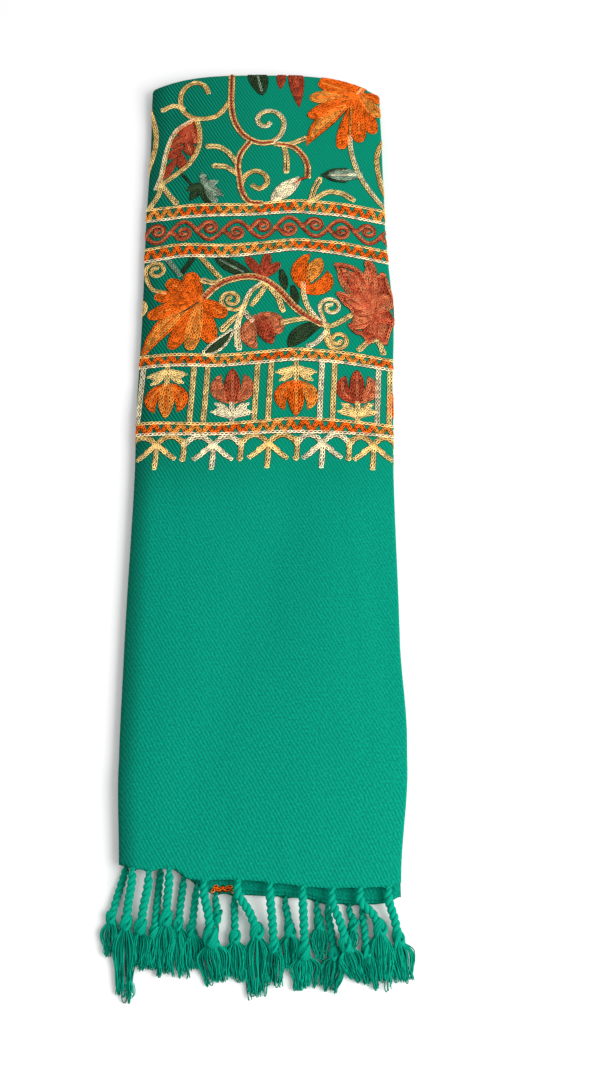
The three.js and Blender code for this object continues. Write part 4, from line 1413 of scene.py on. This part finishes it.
# A skirt: strands from under the knot, drawn together in a few locks, some of them turned back at the end
def skirtYarns(row, knot, hang, chance):
    sideways = np.array([-hang[1], hang[0], 0.0])
    tip = np.array([row["tipX"], row["tipY"], 1.6])
    drop = np.linalg.norm((tip - knot)[:2])
    lockCount = 3 + sum(row["fan"] > fan for fan in fringe["lockFans"])
    locks = []
    for k in range(lockCount):
        locks.append(((k + 0.5) * 2 / lockCount - 1 + 0.12 * chance.normal(), 0.86 + 0.2 * chance.random()))
    yarns = []
    for k in range(int(row["strands"] * fringe["more"])):
        around = chance.random() * math.tau
        out = math.sqrt(chance.random())
        spread, depth = out * math.cos(around), out * math.sin(around)
        start = knot + hang * row["knot"] * 0.5 + sideways * spread * row["knot"] * 0.5
        start = start + np.array([0, 0, depth * row["knot"] * 0.42])
        lockSide, lockReach = locks[min(int((spread + 1) / 2 * lockCount), lockCount - 1)]
        reach = drop * lockReach * (0.84 + 0.2 * chance.random())
        wide = row["fan"] + 4.6
        away = (fringe["strandSpread"] * spread + fringe["lockSpread"] * lockSide) * wide
        end = knot + hang * reach + sideways * (away + chance.normal() * 0.7)
        end[2] = 0.9 + (depth + 1) * 2.2 + chance.random() * 1.2
        belly = start + (end - start) * 0.33 + sideways * spread * wide * fringe["belly"]
        belly[2] = start[2] * 0.7 + end[2] * 0.3 + 0.8 * depth
        points = [start, belly, start + (end - start) * 0.75 + sideways * spread * wide * 0.28, end]
        points[2][2] = end[2] + 0.2
        if chance.random() < fringe["loops"]:
            back = sideways * (2.2 + 2 * chance.random()) * (1 if chance.random() < 0.5 else -1)
            points += [end + back * 0.6 + hang * 1.5, end + back - hang * 3, end + back * 0.8 - hang * 9]
        line = curveThrough(points, 3.4)
        t = np.linspace(0, 1, len(line))
        phase, wave = chance.random() * math.tau, 0.5 + chance.random() * 0.5
        line = line + sideways * (wave * t * np.sin(t * 13 + phase))[:, None]
        line[:, 2] += 0.35 * t * np.cos(t * 11 + phase)
        radius = fringe["strand"] * (0.85 + 0.3 * chance.random()) * (1 - 0.25 * t**3)
        line[:, 2] = np.maximum(line[:, 2], radius + 0.1)
        yarns.append((line, radius, 0.0, 0.2 + 0.8 * chance.random()))
    return yarns


def makeFringe(tree):
    chance = np.random.default_rng(fringe["seed"])
    pieces = []
    for i, row in enumerate(tassels):
        knot = np.array([row["knotX"], row["knotY"], 0.6 + row["knot"] * 0.85 + row["lift"]])
        hang = np.array([row["tipX"] - row["knotX"], row["tipY"] - row["knotY"], 0.0])
        hang /= np.linalg.norm(hang)
        yarns = cordYarns(row, rootPoint(row), knot)
        yarns += knotYarns(row, knot, hang, chance)
        yarns += skirtYarns(row, knot, hang, chance)
        nodeName = f"tassel_{row['hem']}_{i + 1:02d}"
        piece = yarnObject("fringe_" + nodeName, yarns)
        growPiece(piece, tree, {"Cord Sides": 8, "Strand Sides": 3, "Material": fringeMaterial})
        pieces.append((piece, nodeName))
    return pieces


print("fringe")
fringePieces = makeFringe(makeYarnTree())


# Floor, lights and camera
stage = {
    "floorColour": (0.93, 0.93, 0.93, 1.0),
    "floorHalf": 6.0,
    "world": 0.7,
    "keyPower": 66.0,
    "keySize": 1.8,
    "key": (1.7, -0.85, 1.5),
    "lens": 49.36,
    "camera": (0.03572, -0.64983, 1.3182),
    "tilt": 24.0,
}


def makeFloor():
    half = stage["floorHalf"]
    corners = [(x, y, -0.0004) for x, y in ((-half, -half), (half, -half), (half, half), (-half, half))]
    material = bpy.data.materials.new("paleFloor")
    material.use_nodes = True
    shader = material.node_tree.nodes["Principled BSDF"]
    shader.inputs["Base Color"].default_value = stage["floorColour"]
    shader.inputs["Roughness"].default_value = 0.9
    meshObject("floor", corners, [(0, 1, 2, 3)], material)


def makeLight():
    lamp = bpy.data.lights.new("key", "AREA")
    lamp.energy = stage["keyPower"]
    lamp.size = stage["keySize"]
    light = addObject("key", lamp)
    light.location = stage["key"]
    aim = Vector((0, -0.1, 0)) - Vector(stage["key"])
    light.rotation_euler = aim.to_track_quat("-Z", "Y").to_euler()


def makeStage():
    makeFloor()
    world = bpy.data.worlds.new("studio")
    world.use_nodes = True
    sky = world.node_tree.nodes["Background"].inputs
    sky["Color"].default_value = (1, 1, 1, 1)
    sky["Strength"].default_value = stage["world"]
    bpy.context.scene.world = world
    makeLight()
    camera = addObject("camera", bpy.data.cameras.new("camera"))
    camera.location = stage["camera"]
    camera.rotation_euler = (math.radians(stage["tilt"]), 0, 0)
    camera.data.lens = stage["lens"]
    camera.data.sensor_width = 36.0
    camera.data.clip_end = 50.0
    bpy.context.scene.camera = camera
    bpy.context.scene.view_settings.view_transform = "Standard"


print("stage")
makeStage()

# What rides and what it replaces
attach(shawl, "root")
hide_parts("front_panel", "back_panel")
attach(inner, "root")
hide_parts("inner_layers")
for piece in embroidery:
    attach(piece, "root")
for piece, nodeName in fringePieces:
    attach(piece, "root")
    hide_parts(nodeName)
